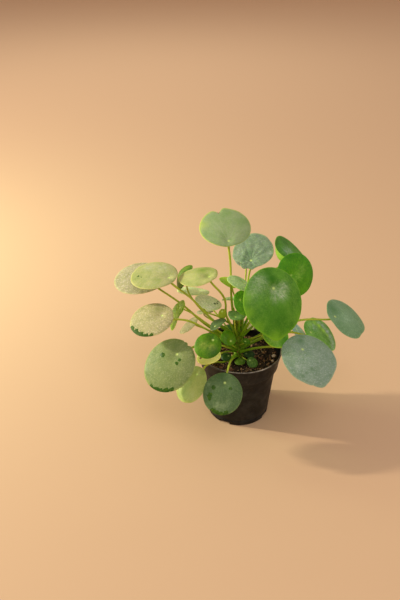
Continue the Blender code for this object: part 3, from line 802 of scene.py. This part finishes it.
# ---- the 42 leaves, each with its own tint of hue and painted light, its marks of painted light and shade, and its damage

grow("leaf_top", "top", 1, (1.12, 1.13, 1.2), rim=0.95, backlit_side=100, nicks=((4, 4.2, 9), (-3, 5, -1.5)),
     deep_green_and_painted_shade=((50, -7, 8, 0.6), (34, -25, 11, 0.45), (1.7, -2.9, 2.4, 0.7)), painted_light=((36, 30, 8, 0.4),),
     scars=((55, 4, 1.6, 1),))
grow("leaf_back_right_upper", "blue", 2, (1.17, 1.18, 1.2), vein=0.3, ripple=1.1, crease=0.4,
     nicks=((108, 17, 5), (125, 5, 3), (158, 16, -4), (-165, 14, -2.5)),
     bloom_and_sheen=((16, -25, 5, 0.4), (14, 21, 7, 0.3)),
     deep_green_and_painted_shade=((12, 4, 6, 0.6), (-1, 10, 4, 0.6), (-12, -5, 4, 0.4)))
grow("leaf_right_cupped", "fresh", 3, (0.9, 1.12, 1.0), rim=0.6, backlit_side=110, belly=(125, 55, 7),
     bloom_and_sheen=((17, 9, 8, 0.75), (8, 13, 6, 0.6)), deep_green_and_painted_shade=((30, 20, 12, 0.5),))
grow("leaf_right_glossy", "fresh", 4, (0.86, 1.22, 0.26), rim=0.3, pale_seat=0.4,
     bloom_and_sheen=((3, -9, 5, 0.6), (11, 0, 6, 0.5), (18, 7, 6, 0.4)), painted_light=((22, -25, 8, 0.3),))
grow("leaf_front_largest", "fresh", 5, (1.18, 1.26, 1.0), crease=0.12, point=0.06,
     funnel=(3, 9),
     bloom_and_sheen=((4, 0, 7, 1.2), (8, 7, 8, 0.9), (1, 12, 7, 0.7), (13, -2, 6, 0.7), (-9, -22, 14, 0.45),
            (4, -32, 9, 0.35)), deep_green_and_painted_shade=((-12, -2.4, 7, 1), (-19, -5, 7, 0.8), (40, -2, 22, 0.55)),
     painted_light=((61, -2, 8, 0.45), (47, -26, 9, 0.4), (28, -37, 8, 0.5), (10, -39, 8, 0.4),
          (37, 36, 6, 0.3)))
grow("leaf_centre_high", "blue", 6, (2.0, 2.15, 1.35), rim=0.7, deep_green_and_painted_shade=((4.5, -4, 5, 0.6),))
grow("leaf_centre_high_behind", "yellow", 7, (1.0, 1.4, 0.2))
grow("leaf_back_hidden", "blue", 8, (1.3, 1.2, 1.5))
grow("leaf_centre_dark", "fresh", 9, (1.3, 1.5, 1.4))
grow("leaf_centre_small", "blue", 10, (0.74, 1.06, 0.44))
grow("leaf_young_yellow", "yellow", 11, (0.7, 0.85, 0.05))
grow("leaf_left_inner", "yellow", 12, (1.1, 1.07, 1.0),
     deep_green_and_painted_shade=((15, -12, 9, 1), (4, -2, 4, 0.5)))
grow("leaf_left_edge_on", "fresh", 13, (1.35, 0.9, 1.0), rim=0.3, tilt=(90, 6))
grow("leaf_left_upper", "yellow", 14, (1.1, 1.03, 1.1), rim=0.6,
     bloom_and_sheen=((37, -14, 8, 0.3), (17, -16, 9, 0.3)), deep_green_and_painted_shade=((8, 12, 4, 0.5), (41, 10, 8, 0.4)),
     wet=((43, 10, 2.2, 0.75), (37, 11.5, 1.8, 0.7)))
grow("leaf_far_left", "dusty", 15, (1.09, 1.04, 1.02), vein=0.12, ripple=0.5, crease=0.35)
grow("leaf_left_twisted", "fresh", 16, (2.9, 1.65, 2.3), rim=0.3, tilt=(90, -3))
grow("leaf_left_low", "dusty", 17, (1.12, 1.06, 0.9), rim=0.45,
     deep_green_and_painted_shade=((3.5, -12, 8, 0.75), (30, 5, 16, 0.2)),
     wet=((44.5, 5, 4, 1.5), (40.5, 14, 5, 1.5), (35, 21, 5, 1.5), (27.5, 26, 4, 1.4),
          (20, 27, 3, 1.2)))
grow("leaf_left_back_flat", "blue", 18, (3.2, 2.8, 2.1))
grow("leaf_left_back_pale", "dusty", 19, (0.73, 0.78, 0.8))
grow("leaf_left_back_small", "dusty", 20, (0.69, 0.66, 0.6))
grow("leaf_centre_grey", "grey", 21, (2.95, 2.7, 4.2),
     wet=((14, -10, 1.8, 1.1), (19, -12, 1.5, 1.1), (26, -11, 2, 1.1)))
grow("leaf_left_small_blue", "blue", 22, (0.37, 0.49, 0.24), rim=0.3)
grow("leaf_left_low_large", "grey", 23, (0.95, 0.99, 0.85), crease=0.15, rim=0.45,
     nicks=((169, 6, 2.5), (-168, 3, 1.2)), deep_green_and_painted_shade=((-6, -8, 8, 0.5),),
     wet=((12.5, -15.5, 3.2, 1.3), (4, 8.7, 2.4, 1.2), (9.7, 9, 2.4, 1.2), (56, 0, 4, 1.4),
          (55, 7.5, 4.2, 1.5), (52, 14.6, 4.2, 1.5), (47, 21, 4, 1.5), (40.5, 26, 3, 1.4)))
grow("leaf_left_yellow", "yellow", 24, (1.06, 1.11, 0.88), crease=0.3, rim=0.2,
     bloom_and_sheen=((28, 10, 10, 0.2),), deep_green_and_painted_shade=((30, 0, 9, 0.3),))
grow("leaf_front_left_round", "fresh", 25, (0.85, 0.85, 0.2), rim=0.4, backlit_side=-40,
     bloom_and_sheen=((9, 5, 5, 0.55), (14, -4, 6, 0.5)), deep_green_and_painted_shade=((14, 16, 7, 0.7),),
     painted_light=((24, -12, 6, 0.4), (4, -20, 5, 0.4)))
grow("leaf_front_left_under", "yellow", 26, (2.5, 2.3, 1.9), scars=((18, -4, 2, 1),))
grow("leaf_front_small_round", "fresh", 27, (1.0, 1.0, 0.15), painted_light=((6, -4, 5, 0.3),))
grow("leaf_front_over_pot", "blue", 28, (0.52, 0.64, 0.38), crease=0.15,
     nicks=((-15, 2.5, 1.2),),
     bloom_and_sheen=((32, -3, 5, 1), (31, 5, 5, 0.9), (25, 9, 4, 0.7), (6, -21, 2, 0.8)),
     deep_green_and_painted_shade=((-7, -5, 8, 0.6),),
     wet=((9.7, -13.3, 3, 1.3), (6.4, 8.7, 2.3, 1.2), (20.5, -16, 3.2, 1.3), (24.5, -15.5, 2.4, 1.2),
          (39.6, -9, 4, 1.5), (42, -3, 4, 1.5), (42.5, 3.7, 4, 1.5), (38.5, 9.4, 3, 1.4)),
     scars=((40, -11, 1.4, 1),))
grow("leaf_far_right", "blue", 29, (1.0, 1.27, 1.05), crease=0.3, rim=0.4,
     nicks=((-7, 9, -3), (-31, 10, 3)), bloom_and_sheen=((18, -2, 10, 0.35),), deep_green_and_painted_shade=((1, 13.5, 10, 0.7),),
     scars=((45, -24, 1.3, 0.8),))
grow("leaf_right_curled", "fresh", 30, (2.3, 2.0, 4.0), crease=0.2, rim=0.3,
     nicks=((85, 20, 3), (48, 24, 4)),
     bloom_and_sheen=((23, 19, 5, 0.2), (31, 15, 6, 0.32), (37, 8, 6, 0.34), (41, -1, 6, 0.34),
            (41, -11, 6, 0.34), (36, -22, 6, 0.34), (8, 10, 8, 0.15)),
     deep_green_and_painted_shade=((29, -3, 3, 1), (31.8, -11, 3, 1)),
     painted_light=((13, 17, 4, 0.5), (21.6, 13.9, 4, 0.9), (27.5, 7.3, 4, 0.9), (33, 0, 3, 0.6),
          (4, 14, 4, 0.3)))
grow("leaf_right_low_large", "blue", 31, (1.32, 1.33, 1.6), crease=0.2, rim=0.4, funnel=(1.8, 8),
     nicks=((-10, 8, -3), (18, 14, 3), (-36, 10, 1.2), (-22, 2, 1)),
     bloom_and_sheen=((19, -23, 4.5, 0.4), (25, -19, 4, 0.35)),
     deep_green_and_painted_shade=((-12, 5.6, 6, 0.75), (-17, 13, 5, 0.6), (32, -26, 2.2, 0.9), (31, -19, 2, 0.8),
            (30.6, -10, 2.2, 0.8)))
grow("leaf_under_largest", "fresh", 32, (2.4, 1.95, 2.8), rim=0.8,
     deep_green_and_painted_shade=((17, 12, 8, 1), (22, 6, 5, 0.8)))
grow("leaf_right_back_small", "blue", 33, (1.5, 1.75, 2.7))
grow("leaf_tiny_right", "fresh", 34, (0.8, 0.9, 0.2))
grow("leaf_back_edge_on", "blue", 35, (1.6, 1.75, 1.0))
grow("leaf_back_right", "grey", 36)
grow("leaf_centre_shaded", "dark", 37, (0.7, 1.3, 0.5), pale_seat=0.4)
grow("leaf_centre_pale_back", "dusty", 38, (1.9, 1.8, 2.0))
grow("leaf_soil_left", "dark", 39, (0.38, 0.55, 0.22), pale_seat=0.4)
grow("leaf_soil_front", "fresh", 40, (1.05, 0.8, 0.85), pale_seat=0.2)
grow("leaf_soil_right", "dark", 41, (2.1, 2.1, 1.4), pale_seat=0.6)
grow("leaf_soil_behind", "dark", 42, (0.5, 0.65, 0.7), pale_seat=0.4)

for blank in BLANKS.values():
    bpy.data.objects.remove(blank)


# ---- pot

pot_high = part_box("nursery_pot")[1]
RIM_RADIUS = pot_high.x
POT_HEIGHT = pot_high.z
BASE_RADIUS = 0.7333 * RIM_RADIUS
STEP_HEIGHT = 0.766 * POT_HEIGHT
STEP_RADIUS = 0.87 * RIM_RADIUS
COLLAR_RADIUS = 0.93 * RIM_RADIUS
WALL = 1.2 * MM
FLOOR_TOP = 1.7 * MM
FOOT_HEIGHT = 7.2 * MM
LIP_RADIUS = 1.1 * MM
POT_STEPS = 144
NOTCH_BEARINGS = (-119, -29, 61, 151)
NOTCH_CUTTER = (15 * MM, 15.5 * MM, 9.6 * MM)


def wall_radius(height):
    """Outer radius of the plain wall between the foot and the step."""
    return BASE_RADIUS + (STEP_RADIUS - BASE_RADIUS) * height / STEP_HEIGHT


def pot_profile():
    """Radius and height round the cup: foot band, plain wall, soft step, collar, lip and the inside."""
    outer = [(0, 0.5 * MM), (0.5 * BASE_RADIUS, 0.5 * MM), (0.86 * BASE_RADIUS, 0.5 * MM),
             (0.89 * BASE_RADIUS, 0), (BASE_RADIUS - 1.2 * MM, 0), (BASE_RADIUS - 0.4 * MM, 0.2 * MM),
             (BASE_RADIUS, 0.9 * MM)]
    outer += [(wall_radius(height * MM) + 0.15 * MM, height * MM) for height in (2.5, 4.5, 6.2)]
    outer += [(wall_radius(FOOT_HEIGHT) - inset * MM, FOOT_HEIGHT + rise * MM)
              for inset, rise in ((0.0, 0.0), (0.35, 0.35), (0.45, 1.0), (0.2, 1.9))]
    outer += [(wall_radius(height * MM), height * MM) for height in (11, 20, 30, 40, 50, 60, 70, 76)]
    step_start = STEP_RADIUS - 0.3 * MM
    for share in np.linspace(0, 1, 9):
        outer.append((step_start + (COLLAR_RADIUS - step_start) * step_between(share, 0, 1),
                      STEP_HEIGHT + (2.6 * share - 1.2) * MM))
    for share in (0.0, 0.3, 0.6, 1.0):
        outer.append((COLLAR_RADIUS + (RIM_RADIUS - 0.9 * MM - COLLAR_RADIUS) * share,
                      STEP_HEIGHT + 3.4 * MM + (POT_HEIGHT - STEP_HEIGHT - 7 * MM) * share))
    for bend in np.radians(np.linspace(-60, 150, 9)):
        outer.append((RIM_RADIUS - LIP_RADIUS + LIP_RADIUS * math.cos(bend),
                      POT_HEIGHT - LIP_RADIUS + LIP_RADIUS * math.sin(bend)))
    inner = [(RIM_RADIUS - 2.3 * MM, POT_HEIGHT - 5 * MM), (COLLAR_RADIUS - WALL, STEP_HEIGHT + 3 * MM),
             (STEP_RADIUS - WALL + 1 * MM, STEP_HEIGHT),
             (STEP_RADIUS - WALL - 0.4 * MM, STEP_HEIGHT - 3 * MM),
             (BASE_RADIUS - WALL, 2.2 * MM), (BASE_RADIUS - 2 * WALL, FLOOR_TOP), (0, FLOOR_TOP)]
    return outer + inner


def cut_notch(pot, bearing):
    """Cuts one rounded drain notch into the pot's bottom edge."""
    turn = math.radians(bearing)
    place = (BASE_RADIUS * math.cos(turn), BASE_RADIUS * math.sin(turn), 0)
    cutter = made("cutter", bpy.ops.mesh.primitive_cube_add, size=1, rotation=(0, 0, turn), location=place)
    cutter.scale = NOTCH_CUTTER
    bpy.ops.object.transform_apply(location=True, rotation=True, scale=True)
    apply_modifier(cutter, "BEVEL", width=1.6 * MM, segments=3)
    apply_modifier(pot, "BOOLEAN", object=cutter)
    bpy.data.objects.remove(cutter)


def fine_pot():
    """The thin cup with its notches, slightly dented, and a pale lip, partly wear and partly a painted
    highlight.
    """
    pot = turned("fine_pot", pot_profile(), POT_STEPS)
    for bearing in NOTCH_BEARINGS:
        cut_notch(pot, bearing)
    apply_modifier(pot, "BEVEL", width=0.22 * MM, segments=2, limit_method="ANGLE",
                   angle_limit=math.radians(50))
    only(pot)
    bpy.ops.object.shade_smooth_by_angle(angle=math.radians(38))
    points = points_of(pot)
    turn = np.arctan2(points[:, 1], points[:, 0])
    dents = 0.16 * MM * lumps(np.stack([turn * 40, points[:, 2] / (1.6 * MM)], -1), 12.0, 4.0)
    reach = np.hypot(points[:, 0], points[:, 1])
    dents *= step_between(reach, 0.9 * BASE_RADIUS, BASE_RADIUS)
    points[:, :2] *= (1 + dents / np.maximum(reach, MM))[:, None]
    set_points(pot, points)
    # The pale lip, wear and painted highlight, broken unevenly round the rim
    top = step_between(points[:, 2], POT_HEIGHT - 0.9 * MM, POT_HEIGHT - 0.4 * MM)
    wear_and_highlight = 0.65 + 0.6 * lumps(on_circle(turn), 0.32, 9.0)
    label(pot.data, "lip_wear_and_highlight", top * np.clip(wear_and_highlight, 0.1, 1))
    return finished(pot, POT, ("nursery_pot",))


fine_pot()


# ---- soil, crumbs and fibres

def height_map(node):
    """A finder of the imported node's top height at a place."""
    data = nodes[node].data
    tree = BVHTree.FromPolygons([vert.co for vert in data.vertices],
                                [face.vertices for face in data.polygons])

    def top_at(x, y):
        hit = tree.ray_cast(Vector((x, y, 0.2)), Vector((0, 0, -1)))[0]
        return hit.z if hit else 0.0

    return top_at


SOIL_LEVEL = 93 * MM
LEVEL_UNDER_STEM = 94.4 * MM
STEM_MOUTH = (-4 * MM, -3 * MM)  # where the stem leaves the soil


def from_stem(x, y):
    return math.hypot(x - STEM_MOUTH[0], y - STEM_MOUTH[1])


def fine_soil():
    """The root ball's side and a loose, lumpy top that follows the packed soil."""
    low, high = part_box("potting_soil")
    radius = high.x - 0.1 * MM
    top_at = height_map("potting_soil")
    rings = [radius * share for share in np.linspace(0.02, 0.985, 46)]
    profile = [(0, SOIL_LEVEL)] + [(ring, SOIL_LEVEL) for ring in rings] + [
        (radius, SOIL_LEVEL - 0.5 * MM), (COLLAR_RADIUS - WALL - 0.4 * MM, STEP_HEIGHT + 3 * MM),
        (STEP_RADIUS - WALL - 0.6 * MM, STEP_HEIGHT - 1 * MM),
        (BASE_RADIUS - WALL - 0.4 * MM, low.z + 0.4 * MM), (0, low.z)]
    soil = turned("fine_soil", profile, 120)
    edge = 0.96 * radius
    points = points_of(soil)
    for point in points:
        if point[2] < SOIL_LEVEL - 0.1 * MM:
            continue
        x, y = point[:2]
        inward = edge / max(math.hypot(x, y), edge)
        under_stem = from_stem(x, y) < 7 * MM
        point[2] = LEVEL_UNDER_STEM if under_stem else top_at(x * inward, y * inward)
        rough = sum(height * noise.noise(Vector((x, y, 0)) / (width * MM))
                    for height, width in ((0.75, 4.5), (0.55, 1.9), (0.3, 0.9)))
        point[2] += rough * MM * (0.4 if inward < 1 else 1)
    set_points(soil, points)
    label(soil.data, "tone", np.clip(0.25 * lumps(points[:, :2], 0.012, 7.0), 0, 1))
    soil.data.shade_smooth()
    return finished(soil, PEAT, ("potting_soil",))


fine_soil()


def crumb_shape(name, seed):
    """A rough little lump with twenty faces."""
    crumb = made(name, bpy.ops.mesh.primitive_ico_sphere_add, subdivisions=1, radius=0.5)
    points = points_of(crumb)
    rng = np.random.default_rng(seed)
    set_points(crumb, points * (1 + 0.35 * rng.uniform(-1, 1, (len(points), 1))))
    return crumb


def fibre_shape(name):
    """A thin, slightly bent fibre with five sides."""
    fibre = turned(name, [(0, 0), (0.04, 0.02), (0.05, 0.3), (0.045, 0.6), (0.03, 0.9), (0, 1)], 5)
    points = points_of(fibre)
    points[:, 0] += 0.16 * np.sin(points[:, 2] * math.pi)
    points[:, 2] -= 0.5
    set_points(fibre, points[:, [2, 0, 1]])
    return fibre


def strewn(name, shapes, count, sizes, stretch, seed, tones, sink=0.2):
    """Copies of a few shapes thrown over the soil, joined as one piece."""
    top_at = height_map("potting_soil")
    rng = np.random.default_rng(seed)
    copies = []
    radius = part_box("potting_soil")[1].x
    while len(copies) < count:
        x, y = rng.uniform(-radius, radius, 2)
        size = rng.uniform(*sizes) * MM
        if math.hypot(x, y) > radius - 0.6 * size - 0.6 * MM or from_stem(x, y) < 6.5 * MM:
            continue
        turn = (Matrix.Rotation(rng.uniform(0, math.tau), 4, "Z")
                @ Matrix.Rotation(rng.normal(0, 0.35), 4, "X")
                @ Matrix.Rotation(rng.normal(0, 0.35), 4, "Y"))
        scale = Vector([size * (1 + rng.uniform(-side, side)) for side in stretch])
        mesh = shapes[int(rng.integers(len(shapes)))].data.copy()
        place = Matrix.Translation((x, y, top_at(x, y) + sink * size))
        mesh.transform(place @ turn @ Matrix.Diagonal(scale).to_4x4())
        label(mesh, "tone", np.full(len(mesh.vertices), rng.choice(tones)))
        copies.append(placed(name, mesh))
    return finished(joined(copies), PEAT)


CRUMBS = [crumb_shape(f"crumb_{seed}", seed) for seed in (1, 2, 3, 4)]
FIBRE = fibre_shape("fibre")
strewn("soil_crumbs", CRUMBS, 700, (0.9, 2.6), (0.3, 0.3, 0.35), 5, (0, 0, 0, 0.3, 0.5, 0.7, 0.9, 1.1))
strewn("soil_chips", CRUMBS, 170, (1.6, 3.4), (0.5, 0.5, 0.6), 8, (0.7, 0.9, 1.1, 1.4), 0.3)
strewn("soil_grit", CRUMBS, 90, (0.8, 1.7), (0.3, 0.3, 0.3), 6, (1.0, 1.3, 1.6, 1.9), 0.4)
strewn("soil_fibres", [FIBRE], 70, (3, 7), (0.2, 0.3, 0.3), 7, (0.5, 0.9, 1.3), 0.1)
for shape in CRUMBS + [FIBRE]:
    bpy.data.objects.remove(shape)


# ---- pebbles and bark chips

def worked_lump(node, finish, seed, rough):
    """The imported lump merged, smoothed finer and given an uneven face."""
    lump = placed("fine_" + node, nodes[node].data.copy())
    with editing(lump):
        bpy.ops.mesh.remove_doubles(threshold=WELD)
    apply_modifier(lump, "SUBSURF", levels=2, render_levels=2)
    points = points_of(lump)
    middle = points.mean(0)
    for point in points:
        spot = Vector(point) / MM + Vector((seed, 0, 0))
        swell = 1.08 + rough * noise.noise(spot / 1.6) + 0.5 * rough * noise.noise(spot / 0.7)
        point[:] = middle + (point - middle) * swell
    set_points(lump, points)
    lump.data.shade_smooth()
    return finished(lump, finish, (node,))


PEBBLES = ("pebble_large", "pebble_small")
CHIPS = ("bark_chip_front", "bark_chip_left", "bark_chip_right", "bark_chip_back")
for seed, node in enumerate(PEBBLES + CHIPS):
    if node in PEBBLES:
        worked_lump(node, PEBBLE, seed, 0.1)
    else:
        worked_lump(node, BARK, seed, 0.3)


# ---- stem, stipules and growing tip

stem_low, stem_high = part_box("main_stem")
stem_points = np.array([vert.co for vert in nodes["main_stem"].data.vertices])
STEM_FOOT = Vector(stem_points[stem_points[:, 2] < stem_low.z + 2 * MM].mean(0))
STEM_TOP = Vector(stem_points[stem_points[:, 2] > stem_high.z - 2 * MM].mean(0))
STEM_RADII = (4.6 * MM, 3.0 * MM)
SCARS = 9


def stem_radius(share):
    return STEM_RADII[0] + (STEM_RADII[1] - STEM_RADII[0]) * share


def fine_stem():
    """The short stem with a ridge at each old leaf scar and a rounded top."""
    length = (STEM_TOP - STEM_FOOT).length
    profile = [(0, 0), (STEM_RADII[0], 0)]
    for scar in range(SCARS):
        for rise, swell in ((0.0, 0.0), (0.25, -0.3), (0.6, -0.15), (0.85, 0.25), (0.95, 0.35)):
            share = (scar + rise) / SCARS
            profile.append((stem_radius(share) + swell * MM, max(0.4 * MM, share * 0.97 * length)))
    profile += [(STEM_RADII[1] - 0.4 * MM, 0.975 * length), (0.5 * STEM_RADII[1], 0.995 * length),
                (0, length)]
    stem = turned("fine_stem", profile, 28)
    points = points_of(stem)
    rough = 0.22 * MM * lumps(points[:, [0, 2]] + points[:, [1, 1]], 3 * MM, 2.0)
    reach = np.maximum(np.hypot(points[:, 0], points[:, 1]), MM)
    points[:, :2] *= (1 + rough / reach)[:, None]
    set_points(stem, points)
    lean = (STEM_TOP - STEM_FOOT).to_track_quat("Z", "Y").to_matrix().to_4x4()
    stem.data.transform(Matrix.Translation(STEM_FOOT) @ lean)
    stem.data.shade_smooth()
    return finished(stem, STEM, ("main_stem",))


def scale_shape(name, width, thick, cup):
    """A pointed scale one unit long: a ball flattened, drawn to a tip and cupped."""
    scale = made(name, bpy.ops.mesh.primitive_uv_sphere_add, segments=12, ring_count=9, radius=0.5)
    points = points_of(scale)
    rise = points[:, 2] + 0.5
    taper = np.where(rise > 0.35, np.cos(np.clip((rise - 0.35) / 0.65, 0, 1) * 1.35), 1.0)
    points[:, 0] *= width * taper
    hollow = 3 * (points[:, 0] / width) ** 2 - 1.4 * (rise - 0.5) ** 2
    points[:, 1] = points[:, 1] * thick * taper + cup * hollow
    points[:, 2] = rise
    set_points(scale, points)
    return scale


def set_round_stem(name, shape, places, finish):
    """Copies of a scale stood round the stem as one piece; places are (share, bearing, length, lean)."""
    upright = Vector((0, 0, 1))
    copies = []
    for share, bearing, length, lean in places:
        turn, lean = math.radians(bearing), math.radians(lean)
        out = Vector((math.cos(turn), math.sin(turn), 0))
        foot = STEM_FOOT.lerp(STEM_TOP, share) + out * (stem_radius(share) - 0.5 * MM)
        side = upright.cross(out)
        up = (upright * math.cos(lean) + out * math.sin(lean)).normalized()
        facing = Matrix((side, up.cross(side), up)).transposed().to_4x4()
        mesh = shape.data.copy()
        mesh.transform(Matrix.Translation(foot) @ facing @ Matrix.Scale(length * MM, 4))
        copies.append(placed(name, mesh))
    piece = joined(copies)
    piece.data.shade_smooth()
    return finished(piece, finish)


fine_stem()
GOLDEN_TURN = 137.5
stipule = scale_shape("stipule", 0.5, 0.14, 0.12)
bud = scale_shape("bud_leaf", 0.62, 0.2, 0.16)
set_round_stem("stipules", stipule, [
    (0.16 + 0.045 * step, GOLDEN_TURN * step, 4.2 - 0.1 * step, 28 + 9 * math.sin(step * 2.1))
    for step in range(18)], SCALE)
set_round_stem("growing_tip", bud, [
    (0.97, -100, 9.0, 12), (0.97, 30, 8.0, 16), (0.96, 165, 8.5, 20), (0.9, -40, 6.5, 34),
    (0.9, -160, 7.0, 30), (0.93, 95, 6.0, 36)], BUD)
for shape in (stipule, bud):
    bpy.data.objects.remove(shape)


# ---- floor

FLOOR_SIZE = 8
FLOOR_MIDDLE = 1.6
COVE_STEPS = 8
COVE_STEP = 0.16
BACK_HEIGHT = 2.5


def studio_floor():
    """A wide floor whose far edge is extruded up through a rounded cove to a back wall."""
    floor = made("floor", bpy.ops.mesh.primitive_plane_add, size=FLOOR_SIZE, location=(0, FLOOR_MIDDLE, 0))
    with editing(floor, "EDGE", "DESELECT"):
        far_edge = [edge for edge in bmesh.from_edit_mesh(floor.data).edges
                    if all(vert.co.y > 0 for vert in edge.verts)]
        far_edge[0].select_set(True)
        for turn in range(COVE_STEPS):
            tilt = 0.5 * math.pi * (turn + 0.5) / COVE_STEPS
            step = (0, COVE_STEP * math.cos(tilt), COVE_STEP * math.sin(tilt))
            bpy.ops.mesh.extrude_region_move(TRANSFORM_OT_translate={"value": step})
        bpy.ops.mesh.extrude_region_move(TRANSFORM_OT_translate={"value": (0, 0, BACK_HEIGHT)})
    bpy.ops.object.transform_apply(location=True)
    floor.data.shade_smooth()
    finish = Finish("floor", 0.85, 0.2)
    finish.shader.inputs["Base Color"].default_value = (0.695, 0.475, 0.286, 1)
    floor.data.materials.append(finish.material)
    return floor


studio_floor()
